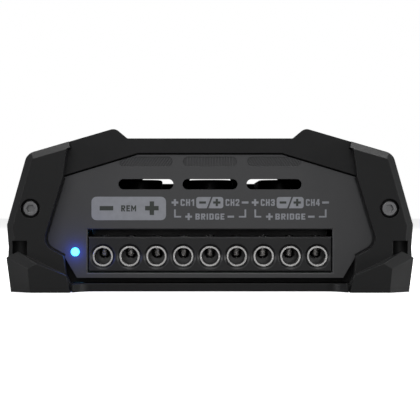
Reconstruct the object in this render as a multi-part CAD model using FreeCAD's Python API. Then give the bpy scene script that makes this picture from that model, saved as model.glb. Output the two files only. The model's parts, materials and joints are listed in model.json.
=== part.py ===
"""Compact four-channel car amplifier, built up from its separate pieces.

Millimetres. X runs across the amplifier, Y along it and Z up. The wire terminals are on the front end,
which faces -Y. The origin is on the mounting surface, under the middle of the case.
"""
import math
import os

import FreeCAD
import Part

V = FreeCAD.Vector

# ---------------------------------------------------------------- overall sizes
length = 200.0                  # over the feet, along Y
half_width = 71.5               # at the widest point of the corner caps
widest_z = 23.4
corner_x, corner_z = 64.44, 48.46   # where the cap's slope and side would meet
corner_round = 4.5
peak_x, peak_z = 33.5, 57.5     # the top shoulder before it is rounded
valley_half = 29.2              # the flat middle of the top
valley_z = 53.9

# ---------------------------------------------------------------- corner caps and feet
foot_reach = 6.0                # how far a foot stands in front of its cap
cap_wall = 5.0                  # the cap's front wall
cap_arm = 2.4                   # the cap's wall along the side of the cover
cap_length = 38.0
cap_chamfer = 2.6               # across the front face
cap_chamfer_depth = 3.6         # back along the sides
cap_fit = 0.2                   # between a cap's arm and the cover
seam_x = 49.8                   # the cap's inner end on the top slope
waist_x, waist_z = 70.9, 15.5
foot_x, foot_z = 71.2, 12.0
base_x = 69.6                   # the foot's outer edge on the mounting surface
foot_inner_x = 48.4
foot_inner_rise = 1.7
foot_notch = (50.5, 6.0)        # where the cap's inner edge turns up from its foot
foot_crest = (67.1, 14.1)
foot_front = ((48.5, 0.0), (49.7, 5.9), (60.0, 10.0), (62.9, 8.3), (62.1, 0.0))     # its front facet
cap_inner = ((51.3, 12.4, 0.8), (58.75, 16.5, 4.5), (51.6, 40.0))   # the face's inner edge, going up
cap_arm_lean = 9.0              # the arm's end leans forward by this much
cap_arm_upright = (22.0, 40.0)  # between these heights
mount_x = 66.6                  # mounting hole
mount_back = 2.1                # the hole's axis, behind the cap's face
mount_r = 2.0
relief_r = 2.7                  # the pocket for the screw and its driver, above the foot
relief_back = 1.4               # its axis, behind the cap's face
relief_top = 17.8
cap_screw_x, cap_screw_z = 62.8, 29.1

# ---------------------------------------------------------------- cover and base
end_gap = 0.6                   # between the end plate's edge and the cover
base_thick = 2.75
base_lip = 3.0                  # the base's tongue in front of the cover's end
base_rear_step = 0.8            # the base's sides stop behind the caps
base_fit = 0.4                  # between the tongue and the feet
flare_reach = 6.0               # the tongue sweeps forward beside each foot
flare_run = 4.5
flare_round = 7.0
plate_top = (25.4, 48.1)        # the end plate's outline: the end of its top edge, its shoulder,
plate_shoulder = (53.3, 39.67)  # its widest point, the notch beside the foot and the bottom corner
plate_side = (60.0, 16.8)
plate_notch = (51.3, 11.8)
plate_bottom = (47.05, 4.6)
end_plate_thick = 2.5
end_plate_inset = 0.4
edge_groove = 0.55              # a shadow groove in the plate, along the caps
edge_groove_depth = 1.6
gasket_thick = 1.2
gasket_rise = 0.3               # the gasket's lower edge, above the base
cavity_step = 1.4               # the shoulder that the gasket seats on
fin_pitch = 4.6
fin_gap = 2.3
fin_depth = 4.0
fin_drop = 0.8                  # the fins' tips, below the caps' outer face
fin_floor = 3.0                 # the lowest fin, above the base
fin_end_gap = 0.5               # between the fins and the caps' arms
side_first, side_count = 4.4, 4     # grooves down each side, and how far down the first one is
slope_first, slope_count = 3.6, 2   # grooves on each slope
valley_lanes = 5                # on each side of the middle groove
valley_groove_depth = 3.2
valley_groove_end = 13.0        # plain metal beyond the grooves' ends
pad_half = 27.0                 # plain pad in the middle of the top

# ---------------------------------------------------------------- board
board_thick = 1.6
board_z = 4.9                   # underside
board_half_x = 56.0
board_screw_xs = (-51.0, 51.0)
board_screw_ys = (-46.0, 12.0, 66.0)
board_end_gap = 1.4             # between the board and the end gaskets

# ---------------------------------------------------------------- wire terminals
ports = 9
pitch = 9.5
port_z = 12.2
port_r = 3.0                    # the metal bore
collar_r = 3.6
port_hole_r = 3.7
port_mouth_r, port_mouth_depth = 4.55, 0.7
plug_depth = 18.0
plug_lift = 0.3                 # between the board and the plug
plug_top = 19.2
cage_land = 0.65                # half of the housing's web between two cages
cage_wall = 0.8
cage_back = 2.1                 # the cages' front, behind the plug's face
cage_depth = 12.8
cage_floor, cage_roof = 1.0, 1.8    # the housing's plastic under and over the cages
ring_back = 0.4                 # the rings' front, behind the plug's face
pocket_gap = 0.1                # round each cage
header_top = 23.5
header_depth = 8.0
header_gap = 0.3                # between the plug and the header
pin_tail_back = 10.0            # the pins' tails, behind the header's face
plug_side = 0.35                # wall outside the last pocket's half pitch
plug_inset = 0.7                # the plug's face, behind the end plate's
window_side_gap = 0.25
window_top_gap = 2.6
window_bottom_gap = 0.45
window_bevel = 0.3
screw_back = 10.0               # the clamp screws' axis, behind the plug's face
clamp_r = 2.0
clamp_run = 0.05
clamp_tip_drop = 0.8            # the tip, below the bore's axis
clamp_proud = 0.35              # the screw's top, above the plug
thread_pitch = 0.8
thread_depth = 0.25
pin_r = 1.0
pin_run = 0.05

# ---------------------------------------------------------------- ends' openings
vent_pitch = 22.7
vent_length = 19.5
vent_height = 3.7
vent_z = 37.7
dimple_z = 45.7
dimple_length = 19.0
dimple_height = 3.35
dimple_depth = 0.35
rib_drop = 0.14                 # the ribs' tops, below the plate's face
rib_pitch = 1.0
rib_width = 0.35
led_x, led_z = -47.7, 13.8
led_r = 1.5
led_fit = 0.1
led_pipe_length = 9.0
led_leg_x = 0.8
led_leg = 0.25                  # half the leg's thickness
led_leg_back = 6.1              # the legs' bend, behind the lamp's front
light_pipe_proud = 0.3
led_gap = 0.1
rear_vent_z = 43.0

# ---------------------------------------------------------------- fasteners
m3_r = 1.5
m3_fit = 0.05
m3_head_r = 2.75
m3_head = 3.0
m3_socket = 2.5
head_hole_r = 3.4
cap_screw_length = 13.0
base_screw_length = 9.0
base_screw_head_r = 2.9
base_screw_xs = (-63.2, 63.2)
base_screw_ys = (-62.0, 0.0, 62.0)
standoff_r = 2.9
bar_screw_bite = 4.0            # into the cover's wall

# ---------------------------------------------------------------- rear panel, seen from the rear
jack_xs = (-44.0, -30.0, -16.0, -2.0)
jack_z = 15.0
jack_r = 4.15
jack_neck_r = 3.95              # behind its free end
jack_neck_gap = 0.3             # shown between the free end and its collar
jack_bore_r = 3.3
jack_reach = 8.0
jack_depth = 9.0                # how far it goes in behind the gasket
jack_floor = 1.0
jack_pin_depth = 4.0            # the pin's socket, behind the gasket
jack_side, jack_over = 7.0, 8.5     # the housing's walls beside and over the jacks' axes
jack_housing_depth = 13.0
jack_pin_hole_r = 1.6
collar_reach = 0.6
jack_collar_r = 5.3
panel_fit = 0.2
knob_xs = (-38.0, -14.0, 14.0, 38.0)
knob_z = 32.5
knob_r = 3.0
knob_reach = 6.5
pot_side = 9.4
pot_depth = 5.0
switch_xs = (-26.0, 26.0)
switch_travel = 2.0
lever_width, lever_height, lever_reach = 3.0, 2.6, 2.6
fuse_xs = (20.0, 31.0)
fuse_tall, fuse_wide = 19.1, 5.1
fuse_wall = 0.7                 # the holder's wall above and below the fuses
fuse_reach = 8.5
fuse_body_depth = 11.0
fuse_holder_depth = 21.0
blade_inset = 0.6               # from the fuse's end to its blade
blade_wide, blade_thick, blade_length = 5.2, 0.8, 7.0
blade_gap = 0.1
control_board_gap = 3.9         # between the rear gasket and the control board
control_half, control_top = 48.0, 39.4
control_rise = 1.4              # over the fuses
switch_half_x, switch_half_z = 6.0, 3.2
flutes, flute_r, flute_length = 18, 0.28, 5.6
knob_slot = 0.9                 # the slot for a screwdriver

# ---------------------------------------------------------------- worked-out planes
half_length = length / 2
cap_face = -(half_length - foot_reach)
cover_end = cap_face + cap_wall
plate_face = cover_end + end_plate_inset
plate_back = plate_face + end_plate_thick
pocket_floor = plate_back + gasket_thick
board_half_y = -pocket_floor - board_end_gap
board_top = board_z + board_thick
plug_bottom = board_top + plug_lift
fuse_z = board_top + fuse_wall + fuse_tall / 2
jack_bottom = pocket_floor + jack_depth - jack_floor
control_y = pocket_floor + control_board_gap
slope = (peak_z - corner_z) / (corner_x - peak_x)
plug_face = plate_face + plug_inset
plug_rear = plug_face + plug_depth
plug_half = ports * pitch / 2 + plug_side
screw_y = plug_face + screw_back
header_face = plug_rear + header_gap
pin_tail_y = header_face + pin_tail_back
led_face = plate_face - light_pipe_proud + led_pipe_length + led_gap
led_leg_y = led_face + led_leg_back
cap_rear = cap_face + cap_length

nodes = {}


# ---------------------------------------------------------------- helpers
def corner_arc(before, corner, after, radius):
    """The start, middle and end of the arc that rounds a corner."""
    to_before = (before - corner).normalize()
    to_after = (after - corner).normalize()
    half_angle = to_before.getAngle(to_after) / 2
    cut = radius / math.tan(half_angle)
    bisector = (to_before + to_after).normalize()
    start = corner + to_before * cut
    end = corner + to_after * cut
    centre = corner + bisector * (radius / math.sin(half_angle))
    return start, centre - bisector * radius, end


def outline(points, place):
    """A closed wire through (a, b) or (a, b, radius) points; place turns (a, b) into a 3-D point."""
    corners = [place(p[0], p[1]) for p in points]
    radii = [p[2] if len(p) > 2 else 0.0 for p in points]
    stops = []
    for i, corner in enumerate(corners):
        if radii[i]:
            stops.append(corner_arc(corners[i - 1], corner, corners[(i + 1) % len(corners)], radii[i]))
        else:
            stops.append((corner, None, corner))
    edges = []
    for i, (start, middle, end) in enumerate(stops):
        if middle is not None:
            edges.append(Part.Arc(start, middle, end).toShape())
        following = stops[(i + 1) % len(stops)][0]
        if (following - end).Length > 1e-6:
            edges.append(Part.LineSegment(end, following).toShape())
    return Part.Wire(edges)


def prism_y(points, y0, y1):
    """The (x, z) outline, as a solid from y0 to y1."""
    wire = outline(points, lambda a, b: V(a, y0, b))
    return Part.Face(wire).extrude(V(0, y1 - y0, 0))


def prism_z(points, z0, z1):
    """The (x, y) outline, as a solid from z0 to z1."""
    wire = outline(points, lambda a, b: V(a, b, z0))
    return Part.Face(wire).extrude(V(0, 0, z1 - z0))


def block(x0, x1, y0, y1, z0, z1):
    return Part.makeBox(x1 - x0, y1 - y0, z1 - z0, V(x0, y0, z0))


def rod_y(radius, x, z, y0, y1):
    return Part.makeCylinder(radius, y1 - y0, V(x, y0, z), V(0, 1, 0))


def rod_z(radius, x, y, z0, z1):
    return Part.makeCylinder(radius, z1 - z0, V(x, y, z0), V(0, 0, 1))


def slot_y(x, z, long, high, y0, y1):
    """A slot with round ends, lying along X."""
    reach = long / 2 - high / 2
    middle = block(x - reach, x + reach, y0, y1, z - high / 2, z + high / 2)
    return middle.fuse([rod_y(high / 2, x - reach, z, y0, y1), rod_y(high / 2, x + reach, z, y0, y1)])


def hexagon(across, x, y):
    radius = across / math.sqrt(3)
    return [(x + radius * math.cos(math.radians(60 * k)), y + radius * math.sin(math.radians(60 * k)))
            for k in range(6)]


def both_sides(points):
    """A right-hand outline that starts and ends on the middle line, made whole."""
    left = [(-p[0],) + tuple(p[1:]) for p in reversed(points)]
    return [p for p in points if p[0] > 1e-9] + [p for p in left if p[0] < -1e-9]


def mirror_x(shape):
    return shape.mirror(V(0, 0, 0), V(1, 0, 0))


def to_rear(shape):
    turned = shape.copy()
    turned.rotate(V(0, 0, 0), V(0, 0, 1), 180)
    return turned


def offset_path(points, distance):
    """An open path of (x, z) points, moved to its right by distance, with sharp corners."""
    moved = []
    for (ax, az), (bx, bz) in zip(points, points[1:]):
        run = math.hypot(bx - ax, bz - az)
        nx, nz = (bz - az) / run * distance, -(bx - ax) / run * distance
        moved.append(((ax + nx, az + nz), (bx + nx, bz + nz)))
    path = [moved[0][0]]
    for (a, b), (c, d) in zip(moved, moved[1:]):
        ux, uz = b[0] - a[0], b[1] - a[1]
        wx, wz = d[0] - c[0], d[1] - c[1]
        t = ((c[0] - a[0]) * wz - (c[1] - a[1]) * wx) / (ux * wz - uz * wx)
        path.append((a[0] + t * ux, a[1] + t * uz))
    path.append(moved[-1][1])
    return path


def slope_z(x):
    return peak_z - slope * (x - peak_x)


def round_at(path, index, radius):
    return [p + (radius,) if i == index else p for i, p in enumerate(path)]


# ---------------------------------------------------------------- the side of the case
side_path = [(seam_x, slope_z(seam_x)), (corner_x, corner_z), (half_width, widest_z),
             (waist_x, waist_z), (foot_x, foot_z), (base_x, 0.0)]
cover_side = offset_path(side_path, cap_arm + cap_fit)
fin_side = offset_path(side_path, fin_drop)


def cut_off_below(path, z):
    """A path that runs downwards, stopped at height z."""
    kept = [p for p in path if p[1] > z]
    (ax, az), (bx, bz) = kept[-1], path[len(kept)]
    t = (az - z) / (az - bz)
    return kept + [(ax + t * (bx - ax), z)]


# ---------------------------------------------------------------- end plate outline
plate_path = [(0.0, plate_top[1]), plate_top, plate_shoulder, plate_side]
plate_half = (round_at(round_at(plate_path, 2, 1.0), 3, 4.0)
              + [plate_notch, plate_bottom, (0.0, plate_bottom[1])])


def down_to(path, z):
    """A path that ends with a straight drop to height z, and closes on the middle line."""
    return path + [(path[-1][0], z), (0.0, z)]


pocket_half = down_to(round_at(offset_path(plate_path, -end_gap), 2, 1.0), 0.0)
cavity_path = offset_path(plate_path, cavity_step - end_gap)
cavity_half = down_to(round_at(cavity_path, 2, 2.0), 0.0)


def make_cover():
    low = cut_off_below(cover_side, base_thick)
    body = [(0.0, base_thick), (0.0, valley_z), (valley_half, valley_z, 0.8), (peak_x, peak_z, 3.0),
            side_path[0]] + round_at(low, 1, 2.5)
    cover = prism_y(both_sides(body), cover_end, -cover_end)
    fins = cut_off_below(fin_side, base_thick + fin_floor)
    root = cut_off_below(offset_path(side_path, cap_arm + cap_fit + 1.5), base_thick + fin_floor)
    fin_reach = -cap_rear - fin_end_gap
    fin_block = prism_y(round_at(fins, 1, 4.0) + root[::-1], -fin_reach, fin_reach)
    cover = cover.fuse([fin_block, mirror_x(fin_block)]).removeSplitter()
    cutters = [prism_y(both_sides(cavity_half), cover_end - 1, -cover_end + 1)]
    pocket = prism_y(both_sides(pocket_half), cover_end - 1, pocket_floor)
    cutters += [pocket, to_rear(pocket)]
    cutters += side_grooves() + valley_grooves() + cover_holes()
    return cover.cut(cutters)


def side_grooves():
    """Long grooves between the cooling fins, on the sides and on the slopes above them."""
    made = []
    reach = -cover_end + 1
    top, shoulder, widest = fin_side[:3]
    half = fin_gap / 2
    for (ax, az), (bx, bz), first, count in ((shoulder, widest, side_first, side_count),
                                             (top, shoulder, slope_first, slope_count)):
        run = math.hypot(bx - ax, bz - az)
        ux, uz = (bx - ax) / run, (bz - az) / run
        for k in range(count):
            along = first + k * fin_pitch
            mx, mz = ax + ux * along, az + uz * along
            corners = [(mx - ux * half - uz * 3, mz - uz * half + ux * 3),
                       (mx + ux * half - uz * 3, mz + uz * half + ux * 3),
                       (mx + ux * half + uz * fin_depth, mz + uz * half - ux * fin_depth, 0.6),
                       (mx - ux * half + uz * fin_depth, mz - uz * half - ux * fin_depth, 0.6)]
            groove = prism_y(corners, -reach, reach)
            made += [groove, mirror_x(groove)]
    return made


def valley_grooves():
    """Grooves with round ends in the flat middle of the top, stopped short round a plain pad."""
    made = []
    groove_reach = -cover_end - valley_groove_end
    bottom = valley_z - valley_groove_depth
    half = fin_gap / 2
    for k in range(-valley_lanes, valley_lanes + 1):
        x = k * fin_pitch
        spans = [(-groove_reach, groove_reach)]
        if abs(k) < valley_lanes - 1:
            spans = [(-groove_reach, -pad_half), (pad_half, groove_reach)]
        for y0, y1 in spans:
            groove = block(x - half, x + half, y0 + half, y1 - half, bottom, valley_z + 1)
            made.append(groove.fuse([rod_z(half, x, y0 + half, bottom, valley_z + 1),
                                     rod_z(half, x, y1 - half, bottom, valley_z + 1)]))
    return made


base_screw_spots = [(x, y) for x in base_screw_xs for y in base_screw_ys]


def cover_holes():
    made = []
    for x in (-cap_screw_x, cap_screw_x):
        hole = rod_y(m3_r + m3_fit, x, cap_screw_z, cover_end - 1, cover_end + cap_screw_length)
        made += [hole, to_rear(hole)]
    for x, y in base_screw_spots:
        made.append(rod_z(m3_r + m3_fit, x, y, 0, base_screw_length + 1))
    tapped = [hole_on_wall(y, m3_r + m3_fit, -bar_screw_bite - 1) for y in bar_screw_ys]
    return made + two_walls(tapped).Solids


def make_base():
    step_y = cover_end + base_rear_step
    lip_y = cover_end - base_lip
    outer = cover_side[-1][0]
    tongue = foot_inner_x - base_fit
    flare_x = tongue - flare_run
    quarter = [(outer, step_y, 2.0), (tongue, step_y), (tongue, lip_y - flare_reach),
               (tongue - 0.5, lip_y - flare_reach), (flare_x, lip_y, flare_round)]
    whole = (quarter + [(-x, y) + tuple(r) for x, y, *r in quarter[::-1]]
             + [(-x, -y) + tuple(r) for x, y, *r in quarter]
             + [(x, -y) + tuple(r) for x, y, *r in quarter[::-1]])
    plate = prism_z(whole, 0, base_thick)
    cutters = []
    for x, y in base_screw_spots:
        cutters.append(rod_z(m3_r + m3_fit, x, y, -1, base_thick + 1))
        cutters.append(Part.makeCone(base_screw_head_r + 0.1, m3_r, 1.5, V(x, y, 0), V(0, 0, 1)))
    for x, y in board_spots:
        cutters.append(rod_z(m3_r + m3_fit, x, y, -1, base_thick + 1))
    return plate.cut(cutters)


def make_base_screws():
    made = []
    for x, y in base_screw_spots:
        head = Part.makeCone(base_screw_head_r, m3_r, 1.45, V(x, y, 0.05), V(0, 0, 1))
        shank = rod_z(m3_r, x, y, 1.0, base_screw_length)
        socket = prism_z(hexagon(2.0, x, y), 0, 1.1)
        made.append(head.fuse(shank).removeSplitter().cut(socket))
    return Part.makeCompound(made)


# ---------------------------------------------------------------- corner cap
def make_cap():
    """The cap on the front right corner."""
    inner = [(foot_inner_x, 0.0), (foot_inner_x, foot_inner_rise), foot_notch] + list(cap_inner)
    outer = round_at(round_at(side_path, 1, corner_round), 2, 1.5)
    front = prism_y(outer + inner, cap_face, cover_end)
    arm = prism_y(outer + round_at(offset_path(side_path, cap_arm), 1, 2.3)[::-1], cap_face, cap_rear)
    arm = arm.cut(arm_end_cutter())
    cap = front.fuse(arm).removeSplitter()
    cap = cap.cut(chamfer_cutters() + [driver_relief()])
    cap = cap.fuse(make_foot()).removeSplitter()
    return cap.cut(cap_holes())


def arm_end_cutter():
    """Slants the rear end of the arm, so that it is longest at the bottom."""
    front, (low, high) = cap_rear - cap_arm_lean, cap_arm_upright
    wire = outline([(front, peak_z), (front, high), (cap_rear, low), (cap_rear, -1.0),
                    (cap_rear + 5, -1.0), (cap_rear + 5, peak_z)], lambda y, z: V(peak_x, y, z))
    return Part.Face(wire).extrude(V(half_width, 0, 0))


def chamfer_cutters():
    """Wedges that break the outer front edge, one along each side and one across the rounded corner."""
    seam, corner, widest, waist = (V(x, 0, z) for x, z in side_path[:4])
    start, middle, end = corner_arc(seam, corner, widest, corner_round)
    across = (start - end).normalize()
    return [chamfer_wedge(seam, corner, 1.0, 20.0),
            chamfer_wedge(middle + across * 2, middle - across * 2, 20.0, 20.0),
            chamfer_wedge(corner, widest, 20.0, 20.0), chamfer_wedge(widest, waist, 20.0, 4.0)]


def chamfer_wedge(a, b, before, after):
    """The wedge that is cut from the front edge that runs down the outside from a to b."""
    along = (b - a).normalize()
    outward = V(-along.z, 0, along.x)
    stretch = 6.0
    start = a - along * before
    inner = start - outward * cap_chamfer * stretch + V(0, cap_face - cap_chamfer_depth * (stretch - 1), 0)
    outer = start + outward * cap_chamfer * stretch + V(0, cap_face + cap_chamfer_depth * (stretch + 1), 0)
    front = start + outward * cap_chamfer * stretch + V(0, cap_face - cap_chamfer_depth * (stretch - 1), 0)
    wire = Part.makePolygon([inner, outer, front, inner])
    return Part.Face(wire).extrude(along * ((b - a).Length + before + after))


def make_foot():
    back = [(foot_inner_x, 0.0), foot_notch, foot_crest, (foot_x, foot_z), (base_x, 0.0)]
    wires = [outline(foot_front, lambda a, b: V(a, cap_face - foot_reach, b)),
             outline(back, lambda a, b: V(a, cap_face, b))]
    wedge = Part.makeLoft(wires, True, True)
    return wedge.fuse(prism_y(back, cap_face, cover_end)).removeSplitter()


def driver_relief():
    """A pocket in the cap's face, round at the back, over the mounting hole."""
    axis_y = cap_face + relief_back
    front = block(mount_x - relief_r, mount_x + relief_r, cap_face - 1, axis_y, foot_z, relief_top)
    return front.fuse(rod_z(relief_r, mount_x, axis_y, foot_z, relief_top))


def cap_holes():
    mount = rod_z(mount_r, mount_x, cap_face + mount_back, -1, relief_top)
    head = rod_y(head_hole_r, cap_screw_x, cap_screw_z, cap_face - 1, cap_face + m3_head + 0.3)
    shank = rod_y(m3_r + m3_fit, cap_screw_x, cap_screw_z, cap_face, cover_end + 1)
    return [mount, head, shank]


def make_cap_screws():
    made = []
    head_y = cap_face + 0.3
    for x in (-cap_screw_x, cap_screw_x):
        head = rod_y(m3_head_r, x, cap_screw_z, head_y, head_y + m3_head)
        rim = [e for e in head.Edges if abs(e.CenterOfMass.y - head_y) < 1e-6 and e.Length > 1]
        head = head.makeChamfer(0.35, rim[:1])
        shank = rod_y(m3_r, x, cap_screw_z, head_y + m3_head, head_y + cap_screw_length)
        socket = Part.Face(outline(hexagon(m3_socket, x, cap_screw_z), lambda a, b: V(a, head_y - 1, b)))
        made.append(head.fuse(shank).removeSplitter().cut(socket.extrude(V(0, 2.6, 0))))
    return Part.makeCompound(made)


# ---------------------------------------------------------------- end plates and gaskets
window = (-plug_half - window_side_gap, plug_half + window_side_gap,
          plug_bottom - window_bottom_gap, plug_top + window_top_gap)


def vent_slots(z, y0, y1, grow=0.0):
    long, high = vent_length + 2 * grow, vent_height + 2 * grow
    return [slot_y(k * vent_pitch, z, long, high, y0, y1) for k in (-1, 0, 1)]


def end_blank():
    return prism_y(both_sides(plate_half), plate_face, plate_back).cut([edge_groove_cut(),
                                                                       mirror_x(edge_groove_cut())])


def edge_groove_cut():
    """It follows the inner edge of the cap's face, and runs a little way under it."""
    edge = [p[:2] for p in cap_inner]
    bend = cap_inner[1][2]
    under = 0.2
    outer = round_at(offset_path(edge, under), 1, bend + under)
    inner = round_at(offset_path(edge, -edge_groove), 1, bend - edge_groove)
    return prism_y(outer + inner[::-1], plate_face - 1, plate_face + edge_groove_depth)


def rounded_window(x0, x1, z0, z1, y0, y1, radius=0.5):
    return prism_y([(x0, z0, radius), (x1, z0, radius), (x1, z1, radius), (x0, z1, radius)], y0, y1)


def make_dimples():
    """Blind stamped ovals under the plate's top edge, with fine ribs left standing in them."""
    made = []
    for k in (-1, 0, 1):
        x = k * vent_pitch
        oval = slot_y(x, dimple_z, dimple_length, dimple_height, plate_face - 1, plate_face + dimple_depth)
        reach = int(dimple_length / 2 / rib_pitch)
        ribs = []
        for j in range(-reach, reach + 1):
            rib = block(-rib_width / 2, rib_width / 2, plate_face + rib_drop, plate_face + 2, -4, 4)
            rib.rotate(V(0, 0, 0), V(0, 1, 0), -35 * k)
            rib.translate(V(x + j * rib_pitch, 0, dimple_z))
            ribs.append(rib)
        made.append(oval.cut(ribs))
    return made


def make_front_plate():
    cutters = [rounded_window(*window, plate_face - 1, plate_back + 1)]
    x0, x1, z0, z1 = window
    wires = [outline([(x0 - g, z0 - g), (x1 + g, z0 - g), (x1 + g, z1 + g), (x0 - g, z1 + g)],
                     lambda a, b, y=y: V(a, y, b))
             for g, y in ((window_bevel + 0.01, plate_face - 0.01), (0.0, plate_face + window_bevel))]
    cutters.append(Part.makeLoft(wires, True, True))
    cutters += vent_slots(vent_z, plate_face - 1, plate_back + 1)
    cutters += make_dimples()
    cutters.append(rod_y(led_r + led_fit, led_x, led_z, plate_face - 1, plate_back + 1))
    return end_blank().cut(cutters)


def gasket_blank():
    return prism_y(both_sides(down_to(plate_path, base_thick + gasket_rise)), plate_back, pocket_floor)


def make_front_gasket():
    grow = 0.6
    y0, y1 = plate_back - 1, pocket_floor + 1
    x0, x1, z0, z1 = window
    cutters = [rounded_window(x0 - grow, x1 + grow, z0 - grow, z1 + grow, y0, y1),
               rod_y(led_r + 0.4, led_x, led_z, y0, y1)]
    return gasket_blank().cut(cutters + vent_slots(vent_z, y0, y1, grow))


# ---------------------------------------------------------------- wire terminals
port_xs = [(k - (ports - 1) / 2) * pitch for k in range(ports)]
cage_half_x = pitch / 2 - cage_land
cage_front = plug_face + cage_back
cage_rear = cage_front + cage_depth
cage_bottom, cage_top = plug_bottom + cage_floor, plug_top - cage_roof
ring_front = plug_face + ring_back
ring_rear = screw_y - clamp_r - 0.4
socket_front = screw_y + clamp_r + 0.3


def make_plug_housing():
    body = block(-plug_half, plug_half, plug_face, plug_rear, plug_bottom, plug_top)
    front_edges = [e for e in body.Edges if abs(e.CenterOfMass.y - plug_face) < 1e-6]
    body = body.makeChamfer(0.4, front_edges)
    cutters = []
    half = cage_half_x + pocket_gap
    for x in port_xs:
        cutters.append(rod_y(port_hole_r, x, port_z, plug_face - 1, ring_rear))
        cutters.append(Part.makeCone(port_mouth_r, port_hole_r, port_mouth_depth, V(x, plug_face, port_z),
                                     V(0, 1, 0)))
        cutters.append(block(x - half, x + half, cage_front - pocket_gap, plug_rear + 1,
                             cage_bottom - pocket_gap, cage_top + pocket_gap))
        cutters.append(rod_z(clamp_r + 0.3, x, screw_y, cage_top, plug_top + 1))
    return body.cut(cutters)


def make_rings():
    return Part.makeCompound([rod_y(collar_r, x, port_z, ring_front, ring_rear).cut(
        rod_y(port_r, x, port_z, ring_front - 1, ring_rear + 1)) for x in port_xs])


def make_cages():
    made = []
    for x in port_xs:
        body = block(x - cage_half_x, x + cage_half_x, cage_front, cage_rear, cage_bottom, cage_top)
        room = block(x - cage_half_x + cage_wall, x + cage_half_x - cage_wall, ring_rear, socket_front,
                     cage_bottom + cage_wall, cage_top - cage_wall)
        made.append(body.cut([rod_y(collar_r + 0.01, x, port_z, ring_front, ring_rear), room,
                              rod_y(pin_r + pin_run, x, port_z, socket_front - 1, cage_rear + 1),
                              rod_z(clamp_r + clamp_run, x, screw_y, port_z, cage_top + 1)]))
    return Part.makeCompound(made)


def make_clamp_screw(x):
    """A threaded set screw, shown with plain rings for its thread."""
    tip = port_z - clamp_tip_drop
    top = plug_top + clamp_proud
    root = clamp_r - thread_depth
    profile = [(0.0, tip), (1.1, tip), (root, tip + 0.7)]
    turns = int((top - tip - 1.6) / thread_pitch)
    for k in range(turns):
        z = tip + 0.7 + k * thread_pitch
        profile += [(clamp_r, z + thread_pitch * 0.5), (root, z + thread_pitch)]
    profile += [(root, top - 0.3), (root - 0.3, top), (0.0, top)]
    wire = outline(profile, lambda r, z: V(r, 0, z))
    screw = Part.Face(wire).revolve(V(0, 0, 0), V(0, 0, 1), 360)
    screw.translate(V(x, screw_y, 0))
    return screw.cut(prism_z(hexagon(2.0, x, screw_y), top - 2.0, top + 1))


def make_header():
    rear = header_face + header_depth
    body = block(-plug_half, plug_half, header_face, rear, board_top, header_top)
    return body.cut([rod_y(pin_r, x, port_z, header_face - 1, rear + 1) for x in port_xs])


def make_header_pins():
    """Each pin runs through the header and turns down into the board."""
    made = []
    for x in port_xs:
        pin = rod_y(pin_r, x, port_z, socket_front + 0.2, pin_tail_y)
        tail = rod_z(pin_r, x, pin_tail_y, board_z - 1.2, port_z)
        knee = Part.makeSphere(pin_r, V(x, pin_tail_y, port_z))
        made.append(pin.fuse([tail, knee]).removeSplitter())
    return Part.makeCompound(made)


# ---------------------------------------------------------------- status light
def make_light_pipe():
    face = plate_face - light_pipe_proud
    pipe = rod_y(led_r, led_x, led_z, face, face + led_pipe_length)
    rim = [e for e in pipe.Edges if abs(e.CenterOfMass.y - face) < 1e-6]
    return pipe.makeFillet(0.6, rim[:1])


def make_led():
    flange, rear = led_face + 3.6, led_face + 4.6
    lamp = rod_y(led_r, led_x, led_z, led_face, flange).fuse(rod_y(led_r + 0.4, led_x, led_z, flange, rear))
    legs = []
    for x0, x1 in led_leg_spans():
        legs += [block(x0, x1, rear, led_leg_y + 2 * led_leg, led_z - led_leg, led_z + led_leg),
                 block(x0, x1, led_leg_y, led_leg_y + 2 * led_leg, board_z - 1, led_z)]
    return lamp.fuse(legs).removeSplitter()


def led_leg_spans():
    return [(led_x + dx - led_leg, led_x + dx + led_leg) for dx in (-led_leg_x, led_leg_x)]


# ---------------------------------------------------------------- main board
board_spots = [(x, y) for x in board_screw_xs for y in board_screw_ys]


def make_board():
    half = board_half_y
    points = [(-board_half_x, -half, 2.0), (board_half_x, -half, 2.0), (board_half_x, half, 2.0),
              (-board_half_x, half, 2.0)]
    board = prism_z(points, board_z, board_top)
    cutters = [rod_z(m3_r + m3_fit, x, y, 0, 10) for x, y in board_spots]
    cutters += [rod_z(pin_r, x, pin_tail_y, 0, 10) for x in port_xs]
    cutters += [block(x0, x1, led_leg_y, led_leg_y + 2 * led_leg, 0, 10) for x0, x1 in led_leg_spans()]
    return board.cut(cutters)


def make_standoffs():
    return Part.makeCompound([rod_z(standoff_r, x, y, base_thick, board_z).cut(
        rod_z(m3_r + m3_fit, x, y, 0, 10)) for x, y in board_spots])


def make_board_screws():
    made = []
    for x, y in board_spots:
        head = rod_z(m3_head_r, x, y, board_top, board_top + 2.0)
        rim = [e for e in head.Edges if abs(e.CenterOfMass.z - board_top - 2.0) < 1e-6]
        head = head.makeFillet(0.7, rim[:1])
        shank = rod_z(m3_r, x, y, 0.8, board_top)
        made.append(head.fuse(shank).removeSplitter().cut(prism_z(hexagon(2.0, x, y), board_top + 0.9, 20)))
    return Part.makeCompound(made)


# ---------------------------------------------------------------- power parts on the board
toroid_x, toroid_y = -24.0, 8.0
toroid_in, toroid_out, toroid_tall = 9.0, 18.0, 13.0
toroid_turns, choke_turns = 18, 12
wire_r = 0.9
core_lift = 0.4                 # between a winding and the board
toroid_z = board_top + 2 * wire_r + core_lift
choke_in, choke_out, choke_tall = 4.5, 9.0, 8.0
choke_wire = 0.6
choke_z = board_top + 2 * choke_wire + core_lift
choke_xs = (-33.0, -11.0, 11.0, 33.0)
choke_y = -46.0


def ring(x, y, z0, z1, inner, outer):
    return rod_z(outer, x, y, z0, z1).cut(rod_z(inner, x, y, z0 - 1, z1 + 1))


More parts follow.
